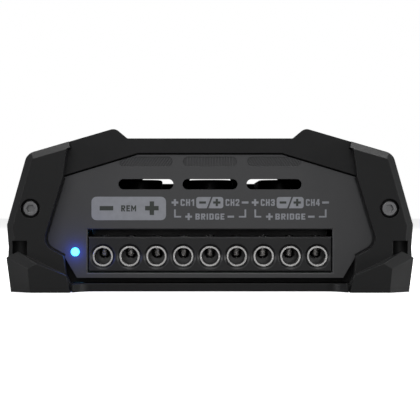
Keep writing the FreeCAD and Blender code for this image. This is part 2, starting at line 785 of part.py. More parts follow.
def turns_round(x, y, z0, z1, inner, outer, wire, count):
    """Separate closed turns of wire round a ring core."""
    made = []
    gap = 0.05
    for k in range(count):
        hoop = block(inner - gap - 2 * wire, outer + gap + 2 * wire, -wire, wire, z0 - gap - 2 * wire,
                     z1 + gap + 2 * wire)
        hoop = hoop.makeFillet(wire * 0.8, [e for e in hoop.Edges if abs(e.Length - 2 * wire) > 1e-6])
        hoop = hoop.cut(block(inner - gap, outer + gap, -wire - 1, wire + 1, z0 - gap, z1 + gap))
        hoop.rotate(V(0, 0, 0), V(0, 0, 1), 360 * k / count)
        hoop.translate(V(x, y, 0))
        made.append(hoop)
    return made


def make_toroid_core():
    return ring(toroid_x, toroid_y, toroid_z, toroid_z + toroid_tall, toroid_in, toroid_out)


def make_toroid_winding():
    return Part.makeCompound(turns_round(toroid_x, toroid_y, toroid_z, toroid_z + toroid_tall, toroid_in,
                                         toroid_out, wire_r, toroid_turns))


def make_choke_cores():
    return Part.makeCompound([ring(x, choke_y, choke_z, choke_z + choke_tall, choke_in, choke_out)
                              for x in choke_xs])


def make_choke_windings():
    made = []
    for x in choke_xs:
        made += turns_round(x, choke_y, choke_z, choke_z + choke_tall, choke_in, choke_out, choke_wire,
                            choke_turns)
    return Part.makeCompound(made)


capacitor_r, capacitor_tall = 9.0, 33.9
capacitor_spots = [(-28.0, -24.0), (0.0, -24.0), (28.0, -24.0), (28.0, -4.0), (28.0, 16.0)]


def make_capacitors():
    made = []
    for x, y in capacitor_spots:
        can = rod_z(capacitor_r, x, y, board_top, board_top + capacitor_tall)
        groove_z = board_top + 2.4
        groove = rod_z(capacitor_r + 1, x, y, groove_z, groove_z + 0.9).cut(
            rod_z(capacitor_r - 0.6, x, y, groove_z - 1, groove_z + 2))
        rim = [e for e in can.Edges if abs(e.CenterOfMass.z - board_top - capacitor_tall) < 1e-6]
        made.append(can.makeFillet(0.8, rim[:1]).cut(groove))
    return Part.makeCompound(made)


# transistors stand against the leaning inner face of each side wall
wall_top, wall_foot = cavity_path[2:4]
wall_lean = math.degrees(math.atan2(wall_foot[0] - wall_top[0], wall_top[1] - wall_foot[1]))
transistor_ys = (-38.0, -20.0, -2.0, 16.0, 34.0)
bar_screw_ys = (-29.0, -11.0, 25.0)
row_ends = (-44.0, 32.0)        # the pad and the bar, along the wall, seen from inside
pad_thick = 0.4
pad_high = 18.0
tab_thick, tab_tall = 1.3, 15.0
case_thick, case_wide, case_tall = 3.2, 10.0, 9.2
case_front = pad_thick + tab_thick + case_thick
bar_thick = 2.5
bar_low, bar_high = 3.0, 9.0    # up the wall
leg_pitch = 2.54
leg_bend = 6.7                  # how far the legs come out from the wall
leg_thick, leg_wide = 0.5, 0.8
leg_rise = 0.07                 # above the board


def leg_drop():
    """How far down the wall's lean the legs go, to stop just above the board."""
    lean = math.radians(wall_lean)
    reach = pad_thick + leg_bend
    return (board_top + leg_rise - wall_foot[1] + reach * math.sin(lean)) / math.cos(lean)


def on_wall(shape):
    """From a flat layout (x into the case, y along it, z up the wall) to the right-hand wall."""
    placed = shape.copy()
    placed.rotate(V(0, 0, 0), V(0, 0, 1), 180)
    placed.rotate(V(0, 0, 0), V(0, 1, 0), -wall_lean)
    placed.translate(V(wall_foot[0] - 0.1, 0, wall_foot[1]))
    return placed


def two_walls(shapes):
    right = [on_wall(s) for s in shapes]
    return Part.makeCompound(right + [mirror_x(s) for s in right])


def make_thermal_pads():
    pad = block(0.05, pad_thick, *row_ends, 0.3, pad_high)
    return two_walls([pad.cut([hole_on_wall(y, m3_r + m3_fit) for y in bar_screw_ys])])


def make_transistors():
    made = []
    half, low = case_wide / 2, 1.5
    near, far = pad_thick + 2.4, pad_thick + leg_bend
    for y in transistor_ys:
        tab = block(pad_thick, pad_thick + tab_thick, y - half, y + half, low, low + tab_tall)
        tab = tab.cut(Part.makeCylinder(1.8, 5, V(-1, y, low + tab_tall - 2.5), V(1, 0, 0)))
        case = block(pad_thick + tab_thick, case_front, y - half, y + half, low, low + case_tall)
        legs = []
        for d in (-leg_pitch, 0, leg_pitch):
            y0, y1 = y + d - leg_wide / 2, y + d + leg_wide / 2
            legs += [block(near, near + leg_thick, y0, y1, -leg_thick, low),
                     block(near, far, y0, y1, -leg_thick, 0.0),
                     block(far - leg_thick, far, y0, y1, leg_drop(), 0.0)]
        made.append(tab.fuse([case] + legs).removeSplitter())
    return two_walls(made)


def clamp_bar():
    bar = block(case_front, case_front + bar_thick, *row_ends, bar_low, bar_high)
    edges = [e for e in bar.Edges if e.Length > 50 and e.CenterOfMass.x > case_front + 1]
    return bar.makeFillet(0.8, edges).cut([hole_on_wall(y, m3_r + 0.1) for y in bar_screw_ys])


def hole_on_wall(y, radius, start=-1.0):
    return Part.makeCylinder(radius, 30, V(start, y, (bar_low + bar_high) / 2), V(1, 0, 0))


def make_bar_screws():
    """They go through the bar and the pad into the cover's wall."""
    made = []
    start, z = case_front + bar_thick, (bar_low + bar_high) / 2
    for y in bar_screw_ys:
        head = Part.makeCylinder(m3_head_r, 2.2, V(start, y, z), V(1, 0, 0))
        shank = Part.makeCylinder(m3_r, start + bar_screw_bite, V(-bar_screw_bite, y, z), V(1, 0, 0))
        made.append(head.fuse(shank).removeSplitter())
    return two_walls(made)


# ---------------------------------------------------------------- small parts on the board
driver_ys = (18.0, 62.0)        # the driver board stands on edge between these
driver_foot_ys = (20.0, 50.0)
driver_tall, driver_rise = 24.0, 0.6
driver_half = board_thick / 2
driver_chip_ys = (24.0, 38.0, 52.0)
driver_chip_low, driver_chip_high = 8.0, 18.0
chip_spots = ((-30.0, 34.0), (-30.0, 52.0), (28.0, 30.0), (28.0, 48.0), (44.0, 34.0))
chip_long, chip_wide, chip_tall = 10.0, 7.0, 1.9
small_can_xs = (-44.0, -34.0, 18.0, 28.0, 38.0)
small_can_y = 60.0
small_can_r, small_can_tall = 3.15, 11.0


def make_driver_board():
    """A small board that stands on the main board and carries the amplifier's driver chips."""
    panel = block(-driver_half, driver_half, *driver_ys, board_top + driver_rise, board_top + driver_tall)
    sockets = [block(-2 * driver_half, 2 * driver_half, y, y + 10, board_top, board_top + driver_rise + 2)
               for y in driver_foot_ys]
    return panel.fuse(sockets).removeSplitter()


def make_chips():
    made = []
    for y in driver_chip_ys:
        made.append(block(driver_half, driver_half + chip_tall, y - 4, y + 4, board_top + driver_chip_low,
                          board_top + driver_chip_high))
    half_x, half_y = chip_long / 2, chip_wide / 2
    for x, y in chip_spots:
        made.append(block(x - half_x, x + half_x, y - half_y, y + half_y, board_top, board_top + chip_tall))
    return Part.makeCompound(made)


def make_small_capacitors():
    made = []
    top = board_top + small_can_tall
    for x in small_can_xs:
        can = rod_z(small_can_r, x, small_can_y, board_top, top)
        rim = [e for e in can.Edges if abs(e.CenterOfMass.z - top) < 1e-6]
        made.append(can.makeFillet(0.5, rim[:1]))
    return Part.makeCompound(made)


# ---------------------------------------------------------------- rear panel, built facing -Y, then turned
def fuse_window(grow):
    x0 = fuse_xs[0] - fuse_wide / 2 - fuse_wall - grow
    x1 = fuse_xs[1] + fuse_wide / 2 + fuse_wall + grow
    half = fuse_tall / 2 + fuse_wall + grow
    return x0, x1, fuse_z - half, fuse_z + half


def rear_openings(y0, y1, grow):
    made = [rod_y(jack_collar_r + panel_fit + grow, x, jack_z, y0, y1) for x in jack_xs]
    made += [rod_y(knob_r + panel_fit + 0.2 + grow, x, knob_z, y0, y1) for x in knob_xs]
    for x in switch_xs:
        half_x = lever_width / 2 + switch_travel + 0.4 + grow
        half_z = lever_height / 2 + 0.3 + grow
        made.append(block(x - half_x, x + half_x, y0, y1, knob_z - half_z, knob_z + half_z))
    made.append(rounded_window(*fuse_window(grow + panel_fit), y0, y1))
    return made + vent_slots(rear_vent_z, y0, y1, grow)


def make_rear_plate():
    return to_rear(end_blank().cut(rear_openings(plate_face - 1, plate_back + 1, 0.0)))


def make_rear_gasket():
    return to_rear(gasket_blank().cut(rear_openings(plate_back - 1, pocket_floor + 1, 0.4)))


def make_jack_housing():
    x0, x1 = jack_xs[0] - jack_side, jack_xs[-1] + jack_side
    body = block(x0, x1, pocket_floor + 0.1, pocket_floor + jack_housing_depth, board_top,
                 jack_z + jack_over)
    collars = [rod_y(jack_collar_r, x, jack_z, plate_face - collar_reach, pocket_floor + 1) for x in jack_xs]
    bores = [rod_y(jack_neck_r, x, jack_z, plate_face - 5, pocket_floor + jack_depth) for x in jack_xs]
    return to_rear(body.fuse(collars).removeSplitter().cut(bores))


def make_jack_shells():
    """Each has a free end that the plug's collar slides over, and a slimmer neck held in the housing."""
    made = []
    front = plate_face - jack_reach
    neck = plate_face - collar_reach - jack_neck_gap
    for x in jack_xs:
        shell = rod_y(jack_r, x, jack_z, front, neck).fuse(
            rod_y(jack_neck_r, x, jack_z, neck, pocket_floor + jack_depth)).removeSplitter()
        made.append(shell.cut(rod_y(jack_bore_r, x, jack_z, front - 1, jack_bottom)))
    return to_rear(Part.makeCompound(made))


def make_jack_centres(xs):
    """The insulators inside the jacks, each with the socket for the plug's pin."""
    made = []
    for x in xs:
        core = rod_y(jack_bore_r, x, jack_z, plate_face - jack_reach + 0.5, jack_bottom)
        made.append(core.cut(rod_y(jack_pin_hole_r, x, jack_z, plate_face - jack_reach - 1,
                                   pocket_floor + jack_pin_depth)))
    return to_rear(Part.makeCompound(made))


def make_control_board():
    board = block(-control_half, control_half, control_y, control_y + board_thick,
                  fuse_z + fuse_tall / 2 + control_rise, control_top)
    return to_rear(board)


def make_pots():
    made = []
    for x in knob_xs:
        half = pot_side / 2
        body = block(x - half, x + half, control_y - pot_depth + 1.2, control_y,
                     knob_z - half, knob_z + half)
        made.append(body.cut(rod_y(1.25, x, knob_z, control_y - 9, control_y - 0.5)))
    return to_rear(Part.makeCompound(made))


def make_knob(x):
    front = plate_face - knob_reach
    back = control_y - pot_depth + 1.0
    body = rod_y(knob_r, x, knob_z, front, back)
    rim = [e for e in body.Edges if abs(e.CenterOfMass.y - front) < 1e-6]
    body = body.makeChamfer(0.4, rim[:1])
    cutters = []
    for k in range(flutes):
        angle = 2 * math.pi * k / flutes
        cutters.append(rod_y(flute_r, x + knob_r * math.cos(angle), knob_z + knob_r * math.sin(angle),
                             front - 1, front + flute_length))
    cutters.append(block(x - knob_slot / 2, x + knob_slot / 2, front - 1, front + 1.2, knob_z - knob_r - 1,
                         knob_z + knob_r + 1))
    spindle = rod_y(1.2, x, knob_z, back, control_y - 0.6)
    return to_rear(body.cut(cutters).fuse(spindle).removeSplitter())


def make_switch_bodies():
    made = []
    for x in switch_xs:
        body = block(x - switch_half_x, x + switch_half_x, pocket_floor + 0.2, control_y,
                     knob_z - switch_half_z, knob_z + switch_half_z)
        half_x = lever_width / 2 + switch_travel + 0.4
        half_z = lever_height / 2 + 0.1
        cut = block(x - half_x, x + half_x, pocket_floor - 1, control_y - 0.9,
                    knob_z - half_z, knob_z + half_z)
        made.append(body.cut(cut))
    return to_rear(Part.makeCompound(made))


def make_switch_lever(x):
    lever = block(x - lever_width / 2, x + lever_width / 2, plate_face - lever_reach, control_y - 1.0,
                  knob_z - lever_height / 2, knob_z + lever_height / 2)
    edges = [e for e in lever.Edges if abs(e.CenterOfMass.y - plate_face + lever_reach) < 1e-6]
    return to_rear(lever.makeFillet(0.35, edges))


def make_fuse_holder():
    """Two sockets in one block; each blade has its own slot."""
    x0, x1, z0, z1 = fuse_window(0.0)
    front = plate_face + 0.2
    body = block(x0, x1, front, front + fuse_holder_depth, z0, z1)
    cutters = []
    for x in fuse_xs:
        half_x, half_z = fuse_wide / 2 + 0.2, fuse_tall / 2 + 0.2
        floor = plate_face - fuse_reach + fuse_body_depth + 0.1
        cutters.append(block(x - half_x, x + half_x, front - 1, floor, fuse_z - half_z, fuse_z + half_z))
        for side in (-1, 1):
            mid = fuse_z + side * (fuse_tall / 2 - blade_wide / 2 - blade_inset)
            cutters.append(block(x - blade_thick / 2 - blade_gap, x + blade_thick / 2 + blade_gap, floor - 1,
                                 floor + blade_length + 0.5, mid - blade_wide / 2 - blade_gap,
                                 mid + blade_wide / 2 + blade_gap))
    return to_rear(body.cut(cutters))


def make_fuse(x):
    front = plate_face - fuse_reach
    back = front + fuse_body_depth
    half_x, half_z = fuse_wide / 2, fuse_tall / 2
    body = prism_y([(x - half_x, fuse_z - half_z, 0.6), (x + half_x, fuse_z - half_z, 0.6),
                    (x + half_x, fuse_z + half_z, 0.6), (x - half_x, fuse_z + half_z, 0.6)], front, back)
    waist = [block(x + side * half_x - 0.5, x + side * half_x + 0.5, front + 2.2, front + 8.5,
                   fuse_z - half_z + 2.5, fuse_z + half_z - 2.5) for side in (-1, 1)]
    body = body.cut(waist)
    blades = []
    for side in (-1, 1):
        mid = fuse_z + side * (half_z - blade_wide / 2 - blade_inset)
        blades.append(block(x - blade_thick / 2, x + blade_thick / 2, back, back + blade_length,
                            mid - blade_wide / 2, mid + blade_wide / 2))
    return to_rear(body.fuse(blades).removeSplitter())


# ---------------------------------------------------------------- all the nodes
nodes["heatsink_cover"] = make_cover()
nodes["base_plate"] = make_base()
nodes["base_screws"] = make_base_screws()
cap = make_cap()
nodes["cap_front_right"] = cap
nodes["cap_front_left"] = mirror_x(cap)
nodes["cap_rear_left"] = to_rear(cap)
nodes["cap_rear_right"] = to_rear(mirror_x(cap))
nodes["cap_screws_front"] = make_cap_screws()
nodes["cap_screws_rear"] = to_rear(nodes["cap_screws_front"])
nodes["front_end_plate"] = make_front_plate()
nodes["front_gasket"] = make_front_gasket()
nodes["rear_end_plate"] = make_rear_plate()
nodes["rear_gasket"] = make_rear_gasket()
nodes["plug_housing"] = make_plug_housing()
nodes["port_rings"] = make_rings()
nodes["wire_cages"] = make_cages()
for number, port_x in enumerate(port_xs, 1):
    nodes[f"clamp_screw_{number}"] = make_clamp_screw(port_x)
nodes["plug_header"] = make_header()
nodes["header_pins"] = make_header_pins()
nodes["light_pipe"] = make_light_pipe()
nodes["status_led"] = make_led()
nodes["main_board"] = make_board()
nodes["board_standoffs"] = make_standoffs()
nodes["board_screws"] = make_board_screws()
nodes["toroid_core"] = make_toroid_core()
nodes["toroid_winding"] = make_toroid_winding()
nodes["choke_cores"] = make_choke_cores()
nodes["choke_windings"] = make_choke_windings()
nodes["storage_capacitors"] = make_capacitors()
nodes["small_capacitors"] = make_small_capacitors()
nodes["thermal_pads"] = make_thermal_pads()
nodes["power_transistors"] = make_transistors()
nodes["transistor_bars"] = two_walls([clamp_bar()])
nodes["bar_screws"] = make_bar_screws()
nodes["driver_board"] = make_driver_board()
nodes["board_chips"] = make_chips()
nodes["jack_housing"] = make_jack_housing()
nodes["jack_shells"] = make_jack_shells()
nodes["jack_centres_left"] = make_jack_centres(jack_xs[0::2])
nodes["jack_centres_right"] = make_jack_centres(jack_xs[1::2])
nodes["control_board"] = make_control_board()
nodes["pot_bodies"] = make_pots()
for knob_name, knob_x in zip(("front_gain_knob", "front_crossover_knob", "rear_gain_knob",
                              "rear_crossover_knob"), knob_xs):
    nodes[knob_name] = make_knob(knob_x)
nodes["switch_bodies"] = make_switch_bodies()
for lever_name, lever_x in zip(("front_filter_switch", "rear_filter_switch"), switch_xs):
    nodes[lever_name] = make_switch_lever(lever_x)
nodes["fuse_holder"] = make_fuse_holder()
for fuse_name, fuse_x in zip(("fuse_one", "fuse_two"), fuse_xs):
    nodes[fuse_name] = make_fuse(fuse_x)

os.makedirs("parts", exist_ok=True)
for name, shape in nodes.items():
    shape.exportStep(f"parts/{name}.step")
    state = "ok" if shape.isValid() and shape.Volume > 0 else "BAD"
    print(f"{name:24s} {state} solids {len(shape.Solids):3d} volume {shape.Volume / 1000:9.3f} cm3")
print(len(nodes), "nodes")
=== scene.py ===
import bpy
import bmesh
import json
import math
import random
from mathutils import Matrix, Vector


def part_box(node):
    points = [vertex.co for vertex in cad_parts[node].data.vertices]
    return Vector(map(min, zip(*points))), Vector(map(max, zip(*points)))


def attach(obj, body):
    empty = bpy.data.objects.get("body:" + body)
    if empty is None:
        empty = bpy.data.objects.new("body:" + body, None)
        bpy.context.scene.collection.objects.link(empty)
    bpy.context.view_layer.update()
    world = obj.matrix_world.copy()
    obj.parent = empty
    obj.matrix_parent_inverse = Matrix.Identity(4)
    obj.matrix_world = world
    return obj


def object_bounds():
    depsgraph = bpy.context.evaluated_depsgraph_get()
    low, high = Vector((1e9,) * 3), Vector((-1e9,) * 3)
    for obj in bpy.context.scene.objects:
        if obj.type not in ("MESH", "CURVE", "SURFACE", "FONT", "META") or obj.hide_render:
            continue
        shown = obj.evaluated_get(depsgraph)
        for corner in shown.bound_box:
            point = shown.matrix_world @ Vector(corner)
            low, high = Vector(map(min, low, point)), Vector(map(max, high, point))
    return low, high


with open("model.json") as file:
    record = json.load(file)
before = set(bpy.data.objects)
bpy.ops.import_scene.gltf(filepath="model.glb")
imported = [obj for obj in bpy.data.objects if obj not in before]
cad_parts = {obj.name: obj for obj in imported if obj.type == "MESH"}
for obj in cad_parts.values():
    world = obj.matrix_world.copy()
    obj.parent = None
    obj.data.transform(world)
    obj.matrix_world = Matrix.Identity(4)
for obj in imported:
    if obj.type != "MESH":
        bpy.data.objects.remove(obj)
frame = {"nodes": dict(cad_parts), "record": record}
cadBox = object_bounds()  # the CAD box, before anything is added
nodes = frame["nodes"]
mm = 0.001
print("frame loaded:", len(nodes), "nodes")


# camera, at the height of the middle of the case and straight on
cameraSettings = {"distance": 480 * mm, "height": 28.6 * mm, "lens": 117.7, "sensor": 36.0, "level": 90,
                  "footReach": 6 * mm}  # how far the feet stand in front of the caps
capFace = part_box("cap_front_right")[0].y + cameraSettings["footReach"]
cameraData = bpy.data.cameras.new("camera")
cameraData.lens = cameraSettings["lens"]
cameraData.sensor_width = cameraSettings["sensor"]
camera = bpy.data.objects.new("camera", cameraData)
camera.location = (0, capFace - cameraSettings["distance"], cameraSettings["height"])
camera.rotation_euler = (math.radians(cameraSettings["level"]), 0, 0)
bpy.context.scene.collection.objects.link(camera)
bpy.context.scene.camera = camera
bpy.context.scene.view_settings.view_transform = "Standard"


# shader node groups
def newGroup(name, inputs, outputs):
    group = bpy.data.node_groups.new(name, "ShaderNodeTree")
    for label, kind, value in inputs:
        socket = group.interface.new_socket(name=label, in_out="INPUT", socket_type="NodeSocket" + kind)
        if value is not None:
            socket.default_value = value
    for label, kind in outputs:
        group.interface.new_socket(name=label, in_out="OUTPUT", socket_type="NodeSocket" + kind)
    return group, group.nodes.new("NodeGroupInput"), group.nodes.new("NodeGroupOutput")


def fillSocket(tree, socket, value):  # joins it to another node's output, or sets a plain value on it
    if isinstance(value, bpy.types.NodeSocket):
        tree.links.new(value, socket)
    else:
        socket.default_value = value


def addNode(tree, kind, settings=None, **values):  # i2=value fills the socket at place 2
    node = tree.nodes.new("ShaderNode" + kind)
    for key, value in (settings or {}).items():
        setattr(node, key, value)
    for key, value in values.items():
        hasPlace = key[0] == "i" and key[1:].isdigit()
        fillSocket(tree, node.inputs[int(key[1:]) if hasPlace else key.replace("_", " ")], value)
    return node


def placeGroup(tree, group, **values):
    node = tree.nodes.new("ShaderNodeGroup")
    node.node_tree = group
    for key, value in values.items():
        fillSocket(tree, node.inputs[key.replace("_", " ")], value)
    return node


def makeEdgeGroup():  # rounds sharp edges in the shading, and says where they are
    settings = {"samples": 6, "flat": 0.995, "sharp": 0.80}  # the cosines where the mask starts and is full
    group, start, end = newGroup("softEdges", [("Radius", "Float", 0.3 * mm)],
                                 [("Normal", "Vector"), ("Mask", "Float")])
    bevel = addNode(group, "Bevel", {"samples": settings["samples"]}, Radius=start.outputs["Radius"])
    geometry = addNode(group, "NewGeometry")
    dot = addNode(group, "VectorMath", {"operation": "DOT_PRODUCT"}, i0=bevel.outputs[0],
                  i1=geometry.outputs["Normal"])
    mask = addNode(group, "MapRange", {"clamp": True}, i0=dot.outputs["Value"], i1=settings["flat"],
                   i2=settings["sharp"])
    group.links.new(bevel.outputs[0], end.inputs["Normal"])
    group.links.new(mask.outputs[0], end.inputs["Mask"])
    return group


def makeGrainGroup():  # the fine relief of a coat or a moulding; Size is in metres
    settings = {"detail": 3.0, "roughness": 0.6, "cellScale": 0.31, "cellShare": 0.6, "height": 0.04 * mm}
    group, start, end = newGroup("surfaceGrain", [
        ("Size", "Float", 0.3 * mm), ("Depth", "Float", 0.2), ("Stretch", "Vector", (1, 1, 1)),
        ("Normal", "Vector", None)], [("Normal", "Vector"), ("Height", "Float")])
    place = addNode(group, "TexCoord")
    stretched = addNode(group, "VectorMath", {"operation": "MULTIPLY"}, i0=place.outputs["Object"],
                        i1=start.outputs["Stretch"])
    scale = addNode(group, "Math", {"operation": "DIVIDE"}, i0=1.0, i1=start.outputs["Size"])
    fine = addNode(group, "TexNoise", Vector=stretched.outputs[0], Scale=scale.outputs[0],
                   Detail=settings["detail"], Roughness=settings["roughness"])
    coarse = addNode(group, "Math", {"operation": "MULTIPLY"}, i0=scale.outputs[0], i1=settings["cellScale"])
    cells = addNode(group, "TexVoronoi", {"feature": "SMOOTH_F1"}, Vector=stretched.outputs[0],
                    Scale=coarse.outputs[0])
    height = addNode(group, "Math", {"operation": "MULTIPLY_ADD"}, i0=cells.outputs["Distance"],
                     i1=settings["cellShare"], i2=fine.outputs[0])
    bump = addNode(group, "Bump", Strength=start.outputs["Depth"], Distance=settings["height"],
                   Height=height.outputs[0], Normal=start.outputs["Normal"])
    group.links.new(bump.outputs[0], end.inputs["Normal"])
    group.links.new(height.outputs[0], end.inputs["Height"])
    return group


def makeToneGroup():  # uneven colour and roughness, with worn edges that also carry a painted edge highlight, and light dust
    settings = {"patchDetail": 5.0, "patchRange": (0.3, 0.7), "speckScale": 2600.0, "speckDetail": 2.0,
                "dustTilt": 0.3, "dustColor": (0.35, 0.34, 0.33, 1)}
    group, start, end = newGroup("surfaceTone", [
        ("Color", "Color", None), ("Rubbed", "Color", None), ("Edge", "Float", 0.0), ("Rub", "Float", 0.3),
        ("Mottle", "Float", 0.1), ("Patch", "Float", 12 * mm), ("Dust", "Float", 0.05),
        ("Roughness", "Float", 0.5), ("Spread", "Float", 0.08)],
        [("Color", "Color"), ("Roughness", "Float")])
    place = addNode(group, "TexCoord")
    scale = addNode(group, "Math", {"operation": "DIVIDE"}, i0=1.0, i1=start.outputs["Patch"])
    patches = addNode(group, "TexNoise", Vector=place.outputs["Object"], Scale=scale.outputs[0],
                      Detail=settings["patchDetail"])
    specks = addNode(group, "TexNoise", Vector=place.outputs["Object"], Scale=settings["speckScale"],
                     Detail=settings["speckDetail"])
    swing = addNode(group, "MapRange", i0=patches.outputs[0], i1=settings["patchRange"][0],
                    i2=settings["patchRange"][1], i3=-1.0)
    amount = addNode(group, "Math", {"operation": "MULTIPLY_ADD"}, i0=swing.outputs[0],
                     i1=start.outputs["Mottle"], i2=1.0)
    toned = addNode(group, "VectorMath", {"operation": "SCALE"}, i0=start.outputs["Color"],
                    Scale=amount.outputs[0])
    # dust settles in specks on what faces up
    geometry = addNode(group, "NewGeometry")
    split = addNode(group, "SeparateXYZ", Vector=geometry.outputs["Normal"])
    upward = addNode(group, "MapRange", {"clamp": True}, i0=split.outputs["Z"], i1=settings["dustTilt"])
    settled = addNode(group, "Math", {"operation": "MULTIPLY"}, i0=upward.outputs[0],
                      i1=start.outputs["Dust"])
    dusty = addNode(group, "Math", {"operation": "MULTIPLY", "use_clamp": True}, i0=settled.outputs[0],
                    i1=specks.outputs[0])
    powder = addNode(group, "Mix", {"data_type": "RGBA"}, i0=dusty.outputs[0], i6=toned.outputs[0],
                     i7=settings["dustColor"])
    # worn edges with a painted edge highlight: a lighter colour along the edge mask, broken up by the
    # patches
    edgeWearAndHighlightShare = addNode(group, "Math", {"operation": "MULTIPLY"}, i0=start.outputs["Edge"],
                  i1=start.outputs["Rub"])
    broken = addNode(group, "Math", {"operation": "MULTIPLY", "use_clamp": True}, i0=edgeWearAndHighlightShare.outputs[0],
                     i1=patches.outputs[0])
    color = addNode(group, "Mix", {"data_type": "RGBA"}, i0=broken.outputs[0], i6=powder.outputs[2],
                    i7=start.outputs["Rubbed"])
    rough = addNode(group, "Math", {"operation": "MULTIPLY_ADD", "use_clamp": True}, i0=swing.outputs[0],
                    i1=start.outputs["Spread"], i2=start.outputs["Roughness"])
    group.links.new(color.outputs[2], end.inputs["Color"])
    group.links.new(rough.outputs[0], end.inputs["Roughness"])
    return group


softEdges = makeEdgeGroup()
surfaceGrain = makeGrainGroup()
surfaceTone = makeToneGroup()


# materials; a finish has these values where it gives no others, and edge, grain and patch are in mm
plainFinish = {"edge": 0.25, "stretch": (1, 1, 1), "edgeWearAndHighlightShare": 0.5, "mottle": 0.08, "patch": 12, "dust": 0.03,
               "spread": 0.06, "metallic": 0.0, "specular": 0.5, "coat": 0.0, "coatRoughness": 0.2}


def makeFinish(name, settings):
    # the edge colour starts as the finish's own colour; a lighter one paints a highlight along the edges as
    # well as wear
    s = {**plainFinish, "edgeWearAndHighlight": settings["color"], **settings}
    material = bpy.data.materials.new(name)
    material.use_nodes = True
    tree = material.node_tree
    shader = tree.nodes["Principled BSDF"]
    edges = placeGroup(tree, softEdges, Radius=s["edge"] * mm)
    grain = placeGroup(tree, surfaceGrain, Size=s["grain"] * mm, Depth=s["depth"], Stretch=s["stretch"],
                       Normal=edges.outputs["Normal"])
    tone = placeGroup(tree, surfaceTone, Color=(*s["color"], 1), Rubbed=(*s["edgeWearAndHighlight"], 1),
                      Edge=edges.outputs["Mask"], Rub=s["edgeWearAndHighlightShare"], Mottle=s["mottle"], Patch=s["patch"] * mm,
                      Dust=s["dust"], Roughness=s["roughness"], Spread=s["spread"])
    tree.links.new(tone.outputs["Color"], shader.inputs["Base Color"])
    tree.links.new(tone.outputs["Roughness"], shader.inputs["Roughness"])
    tree.links.new(grain.outputs["Normal"], shader.inputs["Normal"])
    shader.inputs["Metallic"].default_value = s["metallic"]
    shader.inputs["Specular IOR Level"].default_value = s["specular"]
    shader.inputs["Coat Weight"].default_value = s["coat"]
    shader.inputs["Coat Roughness"].default_value = s["coatRoughness"]
    return material
